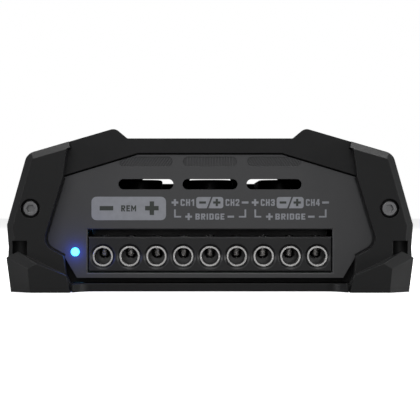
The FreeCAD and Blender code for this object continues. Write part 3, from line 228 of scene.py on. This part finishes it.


# each finish's edge colour is wear and a painted edge highlight together
finishes = {
    "case_coat": {"color": (0.013, 0.013, 0.0135), "edgeWearAndHighlight": (0.10, 0.10, 0.105), "roughness": 0.50,
                  "specular": 0.4, "grain": 0.32, "depth": 0.35, "edge": 0.35, "mottle": 0.10, "dust": 0.05},
    "corner_moulding": {"color": (0.0125, 0.0127, 0.013), "edgeWearAndHighlight": (0.07, 0.07, 0.072), "roughness": 0.50,
                        "specular": 0.4, "grain": 0.22, "depth": 0.28, "edge": 0.35},
    "base_coat": {"color": (0.012, 0.012, 0.0125), "edgeWearAndHighlight": (0.09, 0.09, 0.09), "roughness": 0.45,
                  "specular": 0.4, "grain": 0.25, "depth": 0.2, "edge": 0.2, "mottle": 0.12},
    "end_panel": {"color": (0.095, 0.095, 0.098), "edgeWearAndHighlight": (0.16, 0.16, 0.165), "roughness": 0.55,
                  "grain": 0.20, "depth": 0.25, "edge": 0.18, "edgeWearAndHighlightShare": 0.6, "mottle": 0.05, "patch": 20},
    "black_steel": {"color": (0.24, 0.24, 0.245), "edgeWearAndHighlight": (0.45, 0.45, 0.45), "roughness": 0.36,
                    "metallic": 0.9, "grain": 0.3, "depth": 0.12, "edge": 0.2, "edgeWearAndHighlightShare": 0.9, "spread": 0.1},
    # the pale edge colour paints the bright lit line and glints along the plug's top edge, as a painted
    # highlight more than wear
    "terminal_plastic": {"color": (0.017, 0.017, 0.018), "edgeWearAndHighlight": (0.5, 0.5, 0.51), "roughness": 0.42,
                         "grain": 0.12, "depth": 0.12, "edge": 0.32, "edgeWearAndHighlightShare": 1.0, "mottle": 0.06},
    "dull_plate": {"color": (0.10, 0.10, 0.10), "edgeWearAndHighlight": (0.3, 0.3, 0.3), "roughness": 0.4, "metallic": 1.0,
                   "grain": 0.2, "depth": 0.1, "edge": 0.1, "mottle": 0.1, "patch": 3},
    "plated_metal": {"color": (0.72, 0.71, 0.70), "edgeWearAndHighlight": (0.9, 0.9, 0.9), "roughness": 0.26,
                     "metallic": 1.0, "grain": 0.25, "depth": 0.06, "edge": 0.1, "mottle": 0.06, "patch": 3},
    "gasket_rubber": {"color": (0.008, 0.008, 0.008), "roughness": 0.85, "grain": 0.3, "depth": 0.4,
                      "edge": 0.2},
    "zinc_steel": {"color": (0.55, 0.56, 0.55), "edgeWearAndHighlight": (0.8, 0.8, 0.8), "roughness": 0.3, "metallic": 1.0,
                   "grain": 0.3, "depth": 0.1, "edge": 0.15, "mottle": 0.12, "patch": 4},
    "brass_spacer": {"color": (0.7, 0.52, 0.25), "roughness": 0.28, "metallic": 1.0, "grain": 0.2,
                     "depth": 0.08},
    "ferrite": {"color": (0.05, 0.13, 0.09), "roughness": 0.5, "grain": 0.4, "depth": 0.3, "mottle": 0.15,
                "patch": 3},
    "copper_wire": {"color": (0.62, 0.22, 0.08), "roughness": 0.26, "metallic": 0.85, "grain": 0.5,
                    "depth": 0.05, "coat": 0.6, "mottle": 0.1, "patch": 4},
    "capacitor_sleeve": {"color": (0.014, 0.014, 0.017), "roughness": 0.3, "grain": 0.6, "depth": 0.05,
                         "mottle": 0.06, "edge": 0.4},
    "capacitor_top": {"color": (0.8, 0.8, 0.8), "roughness": 0.25, "metallic": 1.0, "grain": 0.4,
                      "depth": 0.06, "mottle": 0.05},
    "pad_film": {"color": (0.35, 0.35, 0.37), "roughness": 0.7, "grain": 0.5, "depth": 0.2},
    "chip_resin": {"color": (0.016, 0.016, 0.017), "roughness": 0.6, "grain": 0.15, "depth": 0.3,
                   "mottle": 0.1},
    "bar_alloy": {"color": (0.6, 0.6, 0.61), "roughness": 0.32, "metallic": 1.0, "grain": 0.3, "depth": 0.15,
                  "stretch": (1, 0.08, 1)},
    "jack_plastic": {"color": (0.012, 0.012, 0.013), "roughness": 0.3, "grain": 0.2, "depth": 0.08},
    "jack_white": {"color": (0.75, 0.75, 0.72), "roughness": 0.3, "grain": 0.2, "depth": 0.05, "patch": 5},
    "jack_red": {"color": (0.45, 0.015, 0.012), "roughness": 0.3, "grain": 0.2, "depth": 0.05, "patch": 5},
    "knob_plastic": {"color": (0.022, 0.022, 0.023), "edgeWearAndHighlight": (0.06, 0.06, 0.06), "roughness": 0.45,
                     "grain": 0.12, "depth": 0.12, "edge": 0.15},
    "light_print": {"color": (0.44, 0.45, 0.49), "roughness": 0.6, "grain": 0.12, "depth": 0.15,
                    "mottle": 0.06, "patch": 2, "edge": 0.02},
    "dark_print": {"color": (0.07, 0.078, 0.07), "roughness": 0.6, "grain": 0.12, "depth": 0.15,
                   "mottle": 0.06, "patch": 2, "edge": 0.02},
    "tin": {"color": (0.7, 0.7, 0.72), "roughness": 0.3, "metallic": 1.0, "grain": 0.2, "depth": 0.1},
}
materials = {name: makeFinish(name, settings) for name, settings in finishes.items()}


def makeBoardMaterial():  # solder mask over etched tracks
    settings = {"mask": (0.008, 0.055, 0.022), "track": (0.02, 0.11, 0.045), "size": 3.6 * mm,
                "uneven": 0.35, "edge": (0.10, 0.14), "height": 0.04 * mm, "depth": 0.3, "roughness": 0.3}
    material = bpy.data.materials.new("board")
    material.use_nodes = True
    tree = material.node_tree
    shader = tree.nodes["Principled BSDF"]
    place = addNode(tree, "TexCoord")
    cells = addNode(tree, "TexVoronoi", {"feature": "DISTANCE_TO_EDGE"},
                    Vector=place.outputs["Object"], Scale=1 / settings["size"],
                    Randomness=settings["uneven"])
    tracks = addNode(tree, "MapRange", {"clamp": True}, i0=cells.outputs["Distance"], i1=settings["edge"][0],
                     i2=settings["edge"][1])
    color = addNode(tree, "Mix", {"data_type": "RGBA"}, i0=tracks.outputs[0], i6=(*settings["track"], 1),
                    i7=(*settings["mask"], 1))
    bump = addNode(tree, "Bump", {"invert": True}, Strength=settings["depth"], Distance=settings["height"],
                   Height=tracks.outputs[0])
    tree.links.new(color.outputs[2], shader.inputs["Base Color"])
    tree.links.new(bump.outputs[0], shader.inputs["Normal"])
    shader.inputs["Roughness"].default_value = settings["roughness"]
    return material


lamps = {  # greener in the middle than at the rim
    "light_guide": {"core": (0.12, 0.85, 1.0), "rim": (0.0, 0.25, 1.0), "strength": 3.0},
    "lamp_body": {"core": (0.2, 0.6, 1.0), "rim": (0.05, 0.2, 1.0), "strength": 2.0},
}


def makeLampMaterial(name, core, rim, strength, blend=0.35, roughness=0.2):
    material = bpy.data.materials.new(name)
    material.use_nodes = True
    tree = material.node_tree
    shader = tree.nodes["Principled BSDF"]
    facing = addNode(tree, "LayerWeight", Blend=blend)
    color = addNode(tree, "Mix", {"data_type": "RGBA"}, i0=facing.outputs["Facing"], i6=(*core, 1),
                    i7=(*rim, 1))
    tree.links.new(color.outputs[2], shader.inputs["Emission Color"])
    shader.inputs["Base Color"].default_value = (*rim, 1)
    shader.inputs["Emission Strength"].default_value = strength
    shader.inputs["Roughness"].default_value = roughness
    return material


def makeFuseMaterial():  # clear amber plastic
    settings = {"color": (0.85, 0.33, 0.03), "roughness": 0.18, "grain": 0.3, "depth": 0.04, "edge": 0.2,
                "mottle": 0.05, "clearness": 0.55, "bending": 1.5}
    material = makeFinish("fuse_plastic", settings)
    shader = material.node_tree.nodes["Principled BSDF"]
    shader.inputs["Transmission Weight"].default_value = settings["clearness"]
    shader.inputs["IOR"].default_value = settings["bending"]
    return material


materials["board"] = makeBoardMaterial()
for lampName, lampSettings in lamps.items():
    materials[lampName] = makeLampMaterial(lampName, **lampSettings)
materials["fuse_plastic"] = makeFuseMaterial()

for part in frame["record"]["subparts"]:
    for socket in nodes[part["node"]].material_slots:
        socket.material = materials[part["material_slot"]]
print("materials made:", len(materials))


# small mesh tools
def addPiece(name, bm, material, body):
    mesh = bpy.data.meshes.new(name)
    bm.to_mesh(mesh)
    bm.free()
    piece = bpy.data.objects.new(name, mesh)
    bpy.context.scene.collection.objects.link(piece)
    mesh.materials.append(materials[material])
    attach(piece, body)
    return piece


def islands(node, weld=0.005 * mm):  # a node's separate solids, as (low, high) corners, from left to right
    bm = bmesh.new()
    bm.from_mesh(nodes[node].data)
    bmesh.ops.remove_doubles(bm, verts=bm.verts, dist=weld)
    seen = set()
    found = []
    for first in bm.verts:
        if first in seen:
            continue
        stack, group = [first], []
        seen.add(first)
        while stack:
            vert = stack.pop()
            group.append(vert.co.copy())
            for edge in vert.link_edges:
                other = edge.other_vert(vert)
                if other not in seen:
                    seen.add(other)
                    stack.append(other)
        found.append((Vector([min(p[k] for p in group) for k in range(3)]),
                      Vector([max(p[k] for p in group) for k in range(3)])))
    bm.free()
    return sorted(found, key=lambda b: (round(b[0].x, 4), round(b[0].y, 4)))


def flatMesh(objectData):  # a filled 2-D curve, as a thin plate
    holder = bpy.data.objects.new("draft", objectData)
    bpy.context.scene.collection.objects.link(holder)
    mesh = bpy.data.meshes.new_from_object(holder.evaluated_get(bpy.context.evaluated_depsgraph_get()))
    bpy.data.objects.remove(holder)
    bpy.data.curves.remove(objectData)
    return mesh


def makeLetters():  # plain condensed capitals and figures, as loops in a cell one unit high
    w, t, c = 0.60, 0.21, 0.12  # width, stroke and cut corner of a letter
    low, high = 0.5 - t / 2, 0.5 + t / 2
    right = [(w - c, 0), (w, c), (w, 1 - c), (w - c, 1)]
    bowls = [(w - c, 0), (w, c), (w, 0.43), (w - 0.08, 0.5), (w, 0.57), (w, 1 - c), (w - c, 1)]
    hook = [(w - t, 1 - t), (w - t, 0.68), (w, 0.68), (w, 1 - c), (w - c, 1), (c, 1), (0, 1 - c), (0, c)]

    def hole(z0, z1):
        return [(t, z0), (w - t, z0), (w - t, z1), (t, z1)]

    return {
        "0": [[(c, 0)] + right + [(c, 1), (0, 1 - c), (0, c)], hole(t, 1 - t)],
        "1": [[(0.2, 0), (0.2 + t, 0), (0.2 + t, 1), (0.24, 1), (0, 0.8), (0, 0.62), (0.2, 0.74)]],
        "2": [[(0, 0), (w, 0), (w, t), (t + 0.08, t), (w, 0.6), (w, 1 - c), (w - c, 1), (c, 1), (0, 1 - c),
               (0, 0.66), (t, 0.66), (t, 1 - t), (w - t, 1 - t), (w - t, 0.64), (0, 0.2)]],
        "3": [[(c, 0)] + bowls + [(c, 1), (0, 1 - c), (0, 0.68), (t, 0.68), (t, 1 - t), (w - t, 1 - t),
                                  (w - t, high), (0.16, high), (0.16, low), (w - t, low), (w - t, t), (t, t),
                                  (t, 0.32), (0, 0.32), (0, c)]],
        "4": [[(w - t - 0.07, 0), (w - 0.07, 0), (w - 0.07, 0.2), (w, 0.2), (w, 0.4), (w - 0.07, 0.4),
               (w - 0.07, 1), (w - t - 0.12, 1), (0, 0.4), (0, 0.2), (w - t - 0.07, 0.2)],
              [(t, 0.4), (w - t - 0.07, 0.4), (w - t - 0.07, 0.78)]],
        "B": [[(0, 0)] + bowls + [(0, 1)], hole(t, low), hole(high, 1 - t)],
        "C": [[(c, 0), (w - c, 0), (w, c), (w, 0.32), (w - t, 0.32), (w - t, t), (t, t), (t, 1 - t)] + hook],
        "D": [[(0, 0)] + right + [(0, 1)], hole(t, 1 - t)],
        "E": [[(0, 0), (w - 0.06, 0), (w - 0.06, t), (t, t), (t, low), (w - 0.12, low), (w - 0.12, high),
               (t, high), (t, 1 - t), (w - 0.06, 1 - t), (w - 0.06, 1), (0, 1)]],
        "G": [[(c, 0), (w - c, 0), (w, c), (w, 0.54), (w / 2, 0.54), (w / 2, 0.54 - t), (w - t, 0.54 - t),
               (w - t, t), (t, t), (t, 1 - t)] + hook],
        "H": [[(0, 0), (t, 0), (t, low), (w - t, low), (w - t, 0), (w, 0), (w, 1), (w - t, 1), (w - t, high),
               (t, high), (t, 1), (0, 1)]],
        "I": [[(0, 0), (t, 0), (t, 1), (0, 1)]],
        "M": [[(0, 0), (0.18, 0), (0.18, 0.56), (0.37, 0.14), (0.56, 0.56), (0.56, 0), (0.74, 0), (0.74, 1),
               (0.57, 1), (0.37, 0.55), (0.17, 1), (0, 1)]],
        "R": [[(0, 0), (t, 0), (t, 0.38), (0.24, 0.38), (w - t, 0), (w, 0), (w - 0.17, 0.42), (w, 0.52),
               (w, 1 - c), (w - c, 1), (0, 1)], hole(0.38 + t, 1 - t)]}


letterShapes = makeLetters()
letterGap = 0.17  # between two letters, in the same unit
inkThickness = 0.03 * mm


class Ink:  # collects thin printed marks that lie on an upright face
    def __init__(self, faceY, outward):  # outward is the way that the face looks along y, 1 or -1
        self.bm = bmesh.new()
        self.faceY, self.outward = faceY, outward

    def take(self, mesh):
        marks = bmesh.new()
        marks.from_mesh(mesh)
        for vert in marks.verts:
            lift = (vert.co.z + 1) / 2 * inkThickness
            vert.co = (-self.outward * vert.co.x * mm, self.faceY + self.outward * lift, vert.co.y * mm)
        draft = bpy.data.meshes.new("draft")
        marks.to_mesh(draft)
        marks.free()
        self.bm.from_mesh(draft)
        bpy.data.meshes.remove(draft)
        bpy.data.meshes.remove(mesh)

    def shape(self, *loops):  # closed loops of (x, z) in mm; a loop inside another is a hole
        curve = bpy.data.curves.new("draft", "CURVE")
        curve.dimensions = "2D"
        curve.fill_mode = "BOTH"
        curve.extrude = 1
        for loop in loops:
            spline = curve.splines.new("POLY")
            spline.points.add(len(loop) - 1)
            for point, (x, z) in zip(spline.points, loop):
                point.co = (x, z, 0, 1)
            spline.use_cyclic_u = True
        self.take(flatMesh(curve))

    def word(self, text, x0, x1, z0, z1):
        loops, reach = [], 0.0
        for letter in text:
            for loop in letterShapes[letter]:
                loops.append([(reach + x, z) for x, z in loop])
            reach += max(x for x, z in letterShapes[letter][0]) + letterGap
        scale = (x1 - x0) / (reach - letterGap)
        self.shape(*[[(x0 + x * scale, z0 + z * (z1 - z0)) for x, z in loop] for loop in loops])

    def finish(self, name, material, body):
        bmesh.ops.recalc_face_normals(self.bm, faces=self.bm.faces)
        return addPiece(name, self.bm, material, body)


def squareBox(x0, x1, z0, z1):
    return [(x0, z0), (x1, z0), (x1, z1), (x0, z1)]


def roundBox(x0, x1, z0, z1, r, steps=5):
    loop = []
    corners = ((x1 - r, z1 - r), (x0 + r, z1 - r), (x0 + r, z0 + r), (x1 - r, z0 + r))
    for quarter, (cx, cz) in enumerate(corners):
        for k in range(steps + 1):
            angle = math.radians(90 * quarter + 90 * k / steps)
            loop.append((cx + r * math.cos(angle), cz + r * math.sin(angle)))
    return loop


def dashLoop(cx, cz, half, arm):
    return squareBox(cx - half, cx + half, cz - arm / 2, cz + arm / 2)


def plusLoop(cx, cz, half, arm):
    a = arm / 2
    return [(cx + x, cz + z) for x, z in ((a, a), (half, a), (half, -a), (a, -a), (a, -half), (-a, -half),
                                          (-a, -a), (-half, -a), (-half, a), (-a, a), (-a, half), (a, half))]


# the front panel's legends, in mm across from the middle of the case and up from the floor
remoteMarks = {"x": (-41.9, -15.55), "z": (25.0, 33.3), "corner": 1.8, "minusX": (-39.0, -34.2),
               "minusZ": (28.46, 30.0), "wordX": (-31.4, -26.1), "wordZ": (28.1, 30.25), "plusX": -20.55,
               "plusZ": 29.25, "plusHalf": 2.4, "plusArm": 1.55}
channelMarks = {"wordZ": (30.05, 32.45), "middle": 31.25, "half": 1.2, "plusArm": 0.75, "minusArm": 0.74}
blockMarks = {"z": (29.2, 33.2), "corner": 0.9, "lean": 0.75, "gap": 0.62, "minusX": (-1.35, 1.05),
              "minusHalf": 0.4, "plusShift": 0.1, "plusHalf": 1.3, "plusArm": 0.8}
bridgeMarks = {"wordZ": (25.2, 27.35), "middle": 26.25, "plusHalf": 1.2, "minusHalf": 1.15, "arm": 0.7,
               "top": 28.8, "footZ": (25.95, 26.5), "line": 0.6}
channelPairs = [
    {"plus": -12.4, "first": ("CH1", -10.4, -5.6), "block": (-4.87, 4.7), "second": ("CH2", 5.5, 10.4),
     "minus": 12.4, "bracket": (-12.7, 12.8), "inner": (-10.2, 10.2), "bridge": (-5.15, 5.1),
     "signs": (-7.55, 7.35)},
    {"plus": 15.95, "first": ("CH3", 17.95, 22.9), "block": (23.56, 33.1), "second": ("CH4", 33.9, 38.8),
     "minus": 40.85, "bracket": (15.7, 41.2), "inner": (18.1, 38.5), "bridge": (23.1, 33.7),
     "signs": (21.0, 35.8)},
]


def remotePrint(light, dark):
    marks = remoteMarks
    light.shape(roundBox(*marks["x"], *marks["z"], marks["corner"]))
    dark.shape(squareBox(*marks["minusX"], *marks["minusZ"]))
    dark.word("REM", *marks["wordX"], *marks["wordZ"])
    dark.shape(plusLoop(marks["plusX"], marks["plusZ"], marks["plusHalf"], marks["plusArm"]))


def channelPrint(light, pair):  # the row of channel numbers and their outer signs
    marks = channelMarks
    light.shape(plusLoop(pair["plus"], marks["middle"], marks["half"], marks["plusArm"]))
    light.shape(dashLoop(pair["minus"], marks["middle"], marks["half"], marks["minusArm"]))
    for text, x0, x1 in (pair["first"], pair["second"]):
        light.word(text, x0, x1, *marks["wordZ"])


def blockPrint(light, dark, x0, x1):  # a rounded block, parted by a slanted gap, with a sign on each half
    marks = blockMarks
    z0, z1 = marks["z"]
    r, lean, halfGap = marks["corner"], marks["lean"], marks["gap"] / 2
    centre, middle = (x0 + x1) / 2, channelMarks["middle"]
    # a quarter circle in five steps
    corner = [(math.cos(math.radians(a)), math.sin(math.radians(a))) for a in range(0, 91, 18)]
    left = [(centre - lean - halfGap, z0), (centre + lean - halfGap, z1)]
    left += [(x0 + r - s * r, z1 - r + c * r) for c, s in corner]
    left += [(x0 + r - c * r, z0 + r - s * r) for c, s in corner]
    light.shape(left)
    light.shape([(2 * centre - x, z0 + z1 - z) for x, z in left])
    quarter = (x1 - x0) / 4
    minus = [centre - quarter + x for x in marks["minusX"]]
    dark.shape(squareBox(*minus, middle - marks["minusHalf"], middle + marks["minusHalf"]))
    dark.shape(plusLoop(centre + quarter + marks["plusShift"], middle, marks["plusHalf"], marks["plusArm"]))


def bridgePrint(light, pair):  # the line below, held between two corners of a bracket
    marks = bridgeMarks
    light.word("BRIDGE", *pair["bridge"], *marks["wordZ"])
    light.shape(plusLoop(pair["signs"][0], marks["middle"], marks["plusHalf"], marks["arm"]))
    light.shape(dashLoop(pair["signs"][1], marks["middle"], marks["minusHalf"], marks["arm"]))
    foot, footTop = marks["footZ"]
    for outer, inner in zip(pair["bracket"], pair["inner"]):
        upright = outer + math.copysign(marks["line"], inner - outer)
        light.shape([(outer, marks["top"]), (outer, foot), (inner, foot), (inner, footTop),
                     (upright, footTop), (upright, marks["top"])])


def frontPrint():
    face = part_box("front_end_plate")[0].y
    light = Ink(face, -1)
    dark = Ink(face - inkThickness, -1)  # lies on the light ink
    remotePrint(light, dark)
    for pair in channelPairs:
        channelPrint(light, pair)
        blockPrint(light, dark, *pair["block"])
        bridgePrint(light, pair)
    light.finish("end_plate_print", "light_print", "case")
    dark.finish("end_plate_print_dark", "dark_print", "case")


frontPrint()
print("front print made")


# the rear panel's marks, in mm; numbers lie at their distances from a knob's, jack's or fuse's own place
rearMarks = {"radius": 5.0, "tick": 0.9, "line": 0.32, "ticks": 11, "sweep": 140, "zeroX": (-5.4, -4.2),
             "tenX": (3.8, 5.8), "dialZ": (-6.2, -4.6), "jackHalf": 0.7, "jackZ": (21.6, 23.8), "jacks": 4,
             "fuseHalf": 1.4, "fuseZ": (1.2, 3.0)}


def rearMiddle(low, high):  # across and up in mm, as seen from behind
    return -(low.x + high.x) / 2 / mm, (low.z + high.z) / 2 / mm


def dialPrint(ink, cx, cz):
    marks = rearMarks
    near, far = marks["radius"] - marks["tick"] / 2, marks["radius"] + marks["tick"] / 2
    side = marks["line"] / 2
    for k in range(marks["ticks"]):
        angle = math.radians(90 + marks["sweep"] - 2 * marks["sweep"] * k / (marks["ticks"] - 1))
        ux, uz = math.cos(angle), math.sin(angle)
        ink.shape([(cx + ux * r - uz * w, cz + uz * r + ux * w)
                   for r, w in ((near, side), (far, side), (far, -side), (near, -side))])
    height = [cz + z for z in marks["dialZ"]]
    for text, across in (("0", marks["zeroX"]), ("10", marks["tenX"])):
        ink.word(text, *[cx + x for x in across], *height)


def rearPrint():  # dial marks round the knobs, and numbers by the jacks and the fuses
    marks = rearMarks
    ink = Ink(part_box("rear_end_plate")[1].y, 1)
    for name in ("front_gain_knob", "front_crossover_knob", "rear_gain_knob", "rear_crossover_knob"):
        dialPrint(ink, *rearMiddle(*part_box(name)))
    for k, jack in enumerate(islands("jack_shells")):
        cx = rearMiddle(*jack)[0]
        ink.word(str(marks["jacks"] - k), cx - marks["jackHalf"], cx + marks["jackHalf"], *marks["jackZ"])
    for name in ("fuse_one", "fuse_two"):
        low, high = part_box(name)
        cx, top = rearMiddle(low, high)[0], high.z / mm
        ink.word("20", cx - marks["fuseHalf"], cx + marks["fuseHalf"], *[top + z for z in marks["fuseZ"]])
    ink.finish("rear_plate_print", "light_print", "case")


rearPrint()
print("rear print made")


def joinRings(bm, lower, upper):
    for k in range(len(lower)):
        bm.faces.new((lower[k - 1], lower[k], upper[k], upper[k - 1]))


def capacitorTop(bm, low, high, scale):  # a disc with a rounded rim and a scored cross, a little proud
    settings = {"inset": 1.1 * mm, "lift": 0.01 * mm, "rise": 0.12 * mm, "shoulder": 0.7, "round": 0.25 * mm,
                "sides": 48, "score": 0.45 * mm, "scoreReach": 0.7, "scoreRise": 1.35}
    centre, rise = (low + high) / 2, settings["rise"]
    radius = (high.x - low.x) / 2 - settings["inset"] * scale
    angles = [2 * math.pi * k / settings["sides"] for k in range(settings["sides"])]
    rings = []
    for r, z in ((radius, high.z + settings["lift"]), (radius, high.z + rise * settings["shoulder"]),
                 (radius - settings["round"], high.z + rise)):
        rings.append([bm.verts.new((centre.x + r * math.cos(angle), centre.y + r * math.sin(angle), z))
                      for angle in angles])
    for lower, upper in zip(rings, rings[1:]):
        joinRings(bm, lower, upper)
    bm.faces.new(rings[-1])
    bm.faces.new(rings[0][::-1])
    along, across = radius * settings["scoreReach"], settings["score"] / 2 * scale
    for x, y in ((along, across), (across, along)):
        corners = [(centre.x + sx * x, centre.y + sy * y) for sx, sy in ((-1, -1), (1, -1), (1, 1), (-1, 1))]
        bottom = [bm.verts.new((*corner, high.z + rise)) for corner in corners]
        top = [bm.verts.new((*corner, high.z + rise * settings["scoreRise"])) for corner in corners]
        bm.faces.new(top)
        bm.faces.new(bottom[::-1])
        joinRings(bm, bottom, top)


def capacitorTops():  # the bright can tops, just above the sleeves
    for node, scale in (("storage_capacitors", 1.0), ("small_capacitors", 0.5)):
        bm = bmesh.new()
        for low, high in islands(node):
            capacitorTop(bm, low, high, scale)
        addPiece(node + "_tops", bm, "capacitor_top", "case")


capacitorTops()


def addBox(bm, low, high, bevel):
    made = bmesh.ops.create_cube(bm, size=1.0)["verts"]
    centre, size = (low + high) / 2, high - low
    for vert in made:
        vert.co = Vector([centre[k] + vert.co[k] * size[k] for k in range(3)])
    edges = list({e for v in made for e in v.link_edges})
    bmesh.ops.bevel(bm, geom=edges, offset=bevel, segments=2, affect="EDGES")


boardChips = {"count": 110, "size": (2.0 * mm, 1.25 * mm, 0.6 * mm), "bodyShare": 0.96, "end": 0.45 * mm,
              "bevel": 0.08 * mm, "clear": 1.5 * mm, "margin": 4 * mm, "above": 2 * mm, "turned": 0.5,
              "seed": 7, "miss": 0.05}  # a miss counts a little, so that the search ends on a full board


def boardObstacles(boardTop):  # what stands on the board, and what comes down to just above it
    around = ("main_board", "heatsink_cover", "base_plate", "front_gasket", "rear_gasket")
    reach = boardTop + boardChips["above"]
    found = []
    for node in nodes:
        if node not in around:
            found += [(low, high) for low, high in islands(node) if low.z < reach and high.z > boardTop]
    return found


def addChip(bodies, ends, centre, half):
    share, bevel = boardChips["bodyShare"], boardChips["bevel"]
    addBox(bodies, centre - half * share, centre + half * share, bevel)
    along = 0 if half.x > half.y else 1
    for side in (-1, 1):
        low, high = centre - half, centre + half
        if side > 0:
            low[along] = high[along] - boardChips["end"]
        else:
            high[along] = low[along] + boardChips["end"]
        addBox(ends, low, high, bevel)


def boardParts():  # chip resistors and capacitors with tinned ends, spread between the large parts
    draw = random.Random(boardChips["seed"])
    low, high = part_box("main_board")
    taken = boardObstacles(high.z)
    margin, gap = boardChips["margin"], boardChips["clear"]
    bodies, ends = bmesh.new(), bmesh.new()
    placed = 0
    while placed < boardChips["count"]:
        x = draw.uniform(low.x + margin, high.x - margin)
        y = draw.uniform(low.y + margin, high.y - margin)
        half = Vector(boardChips["size"]) / 2
        if draw.random() < boardChips["turned"]:
            half = Vector((half.y, half.x, half.z))
        nearX, nearY = gap + half.x, gap + half.y
        if any(a.x - nearX < x < b.x + nearX and a.y - nearY < y < b.y + nearY for a, b in taken):
            placed += boardChips["miss"]
            continue
        centre = Vector((x, y, high.z + half.z))
        addChip(bodies, ends, centre, half)
        taken.append((centre - half, centre + half))
        placed += 1
    addPiece("board_chip_bodies", bodies, "chip_resin", "case")
    addPiece("board_chip_ends", ends, "tin", "case")


boardParts()


def fuseMetal():  # the tinned skin over the blades, which shows through the fuse's body
    settings = {"skin": 0.03 * mm, "bladeWide": 5.2 * mm, "bladeThick": 0.8 * mm, "bladeLong": 7.0 * mm,
                "inset": 0.6 * mm, "bevel": 0.1 * mm}
    skin, inset, wide = settings["skin"], settings["inset"], settings["bladeWide"]
    halfThick = settings["bladeThick"] / 2 + skin
    for name in ("fuse_one", "fuse_two"):
        low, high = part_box(name)
        x = (low.x + high.x) / 2
        bm = bmesh.new()
        for z0 in (low.z + inset, high.z - inset - wide):
            addBox(bm, Vector((x - halfThick, low.y - skin, z0 - skin)),
                   Vector((x + halfThick, low.y + settings["bladeLong"] - skin, z0 + wide + skin)),
                   settings["bevel"])
        addPiece(name + "_blades", bm, "tin", name)


fuseMetal()
print("inner pieces made")


# floor and light
def makeFloor():
    settings = {"half": 4.0, "below": 0.05 * mm, "paper": 0.9, "roughness": 0.9, "specular": 0.1,
                "lift": 0.75, "bounce": 0.22}  # its own light, and what it throws back onto the case
    bm = bmesh.new()
    bmesh.ops.create_grid(bm, x_segments=1, y_segments=1, size=settings["half"])
    mesh = bpy.data.meshes.new("floor")
    bm.to_mesh(mesh)
    bm.free()
    floor = bpy.data.objects.new("floor", mesh)
    floor.location.z = cadBox[0].z - settings["below"]
    bpy.context.scene.collection.objects.link(floor)
    material = bpy.data.materials.new("floor")
    material.use_nodes = True
    tree = material.node_tree
    shader = tree.nodes["Principled BSDF"]
    shader.inputs["Base Color"].default_value = (*[settings["paper"]] * 3, 1)
    shader.inputs["Roughness"].default_value = settings["roughness"]
    shader.inputs["Specular IOR Level"].default_value = settings["specular"]
    shader.inputs["Emission Color"].default_value = (1, 1, 1, 1)
    shader.inputs["Emission Strength"].default_value = settings["lift"]
    path = addNode(tree, "LightPath")
    dim = addNode(tree, "BsdfDiffuse", Color=(*[settings["bounce"]] * 3, 1))
    mix = addNode(tree, "MixShader", i0=path.outputs["Is Camera Ray"], i1=dim.outputs[0],
                  i2=shader.outputs[0])
    tree.links.new(mix.outputs[0], tree.nodes["Material Output"].inputs["Surface"])
    mesh.materials.append(material)


# soft boxes that point at the middle of the case, in metres and watts
softBoxes = {
    "top": {"place": (0.04, 0.04, 0.95), "size": (0.9, 0.9), "power": 8.0},
    "front": {"place": (-0.30, -1.1, 0.75), "size": (0.9, 0.5), "power": 2.8},
    "low front": {"place": (0.06, -1.3, 0.16), "size": (0.7, 0.24), "power": 0.72},
    "right": {"place": (0.95, -0.25, 0.12), "size": (0.4, 0.24), "power": 2.6},
    "left": {"place": (-0.95, -0.30, 0.16), "size": (0.3, 0.3), "power": 1.6},
    "back": {"place": (0.2, 1.1, 0.8), "size": (0.9, 0.5), "power": 4.0},
}


def addSoftBox(name, place, size, power):
    data = bpy.data.lights.new(name, "AREA")
    data.shape = "RECTANGLE"
    data.size, data.size_y = size
    data.energy = power
    light = bpy.data.objects.new(name, data)
    light.location = place
    middle = (cadBox[0] + cadBox[1]) / 2
    light.rotation_euler = (middle - Vector(place)).to_track_quat("-Z", "Y").to_euler()
    bpy.context.scene.collection.objects.link(light)


def addLampGlow():  # the status light's shine on the panel round it
    settings = {"power": 0.0012, "color": (0.01, 0.08, 1.0), "radius": 1.2 * mm, "reach": 2.6 * mm}
    low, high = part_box("light_pipe")
    glow = bpy.data.lights.new("lamp glow", "POINT")
    glow.energy = settings["power"]
    glow.color = settings["color"]
    glow.shadow_soft_size = settings["radius"]
    lamp = bpy.data.objects.new("lamp glow", glow)
    lamp.location = ((low.x + high.x) / 2, low.y - settings["reach"], (low.z + high.z) / 2)
    bpy.context.scene.collection.objects.link(lamp)


def makeRoom():  # white to look at, and dim as a light
    settings = {"seen": (1, 1, 1, 1), "seenStrength": 1.0, "lit": (0.95, 0.97, 1, 1), "litStrength": 0.12}
    world = bpy.data.worlds.new("room")
    bpy.context.scene.world = world
    world.use_nodes = True
    tree = world.node_tree
    tree.nodes.clear()
    seen = addNode(tree, "Background", Color=settings["seen"], Strength=settings["seenStrength"])
    lit = addNode(tree, "Background", Color=settings["lit"], Strength=settings["litStrength"])
    path = addNode(tree, "LightPath")
    mix = addNode(tree, "MixShader", i0=path.outputs["Is Camera Ray"], i1=lit.outputs[0], i2=seen.outputs[0])
    addNode(tree, "OutputWorld", Surface=mix.outputs[0])


makeFloor()
for softBoxName, softBox in softBoxes.items():
    addSoftBox(softBoxName, **softBox)
addLampGlow()
makeRoom()
print("stage ready")
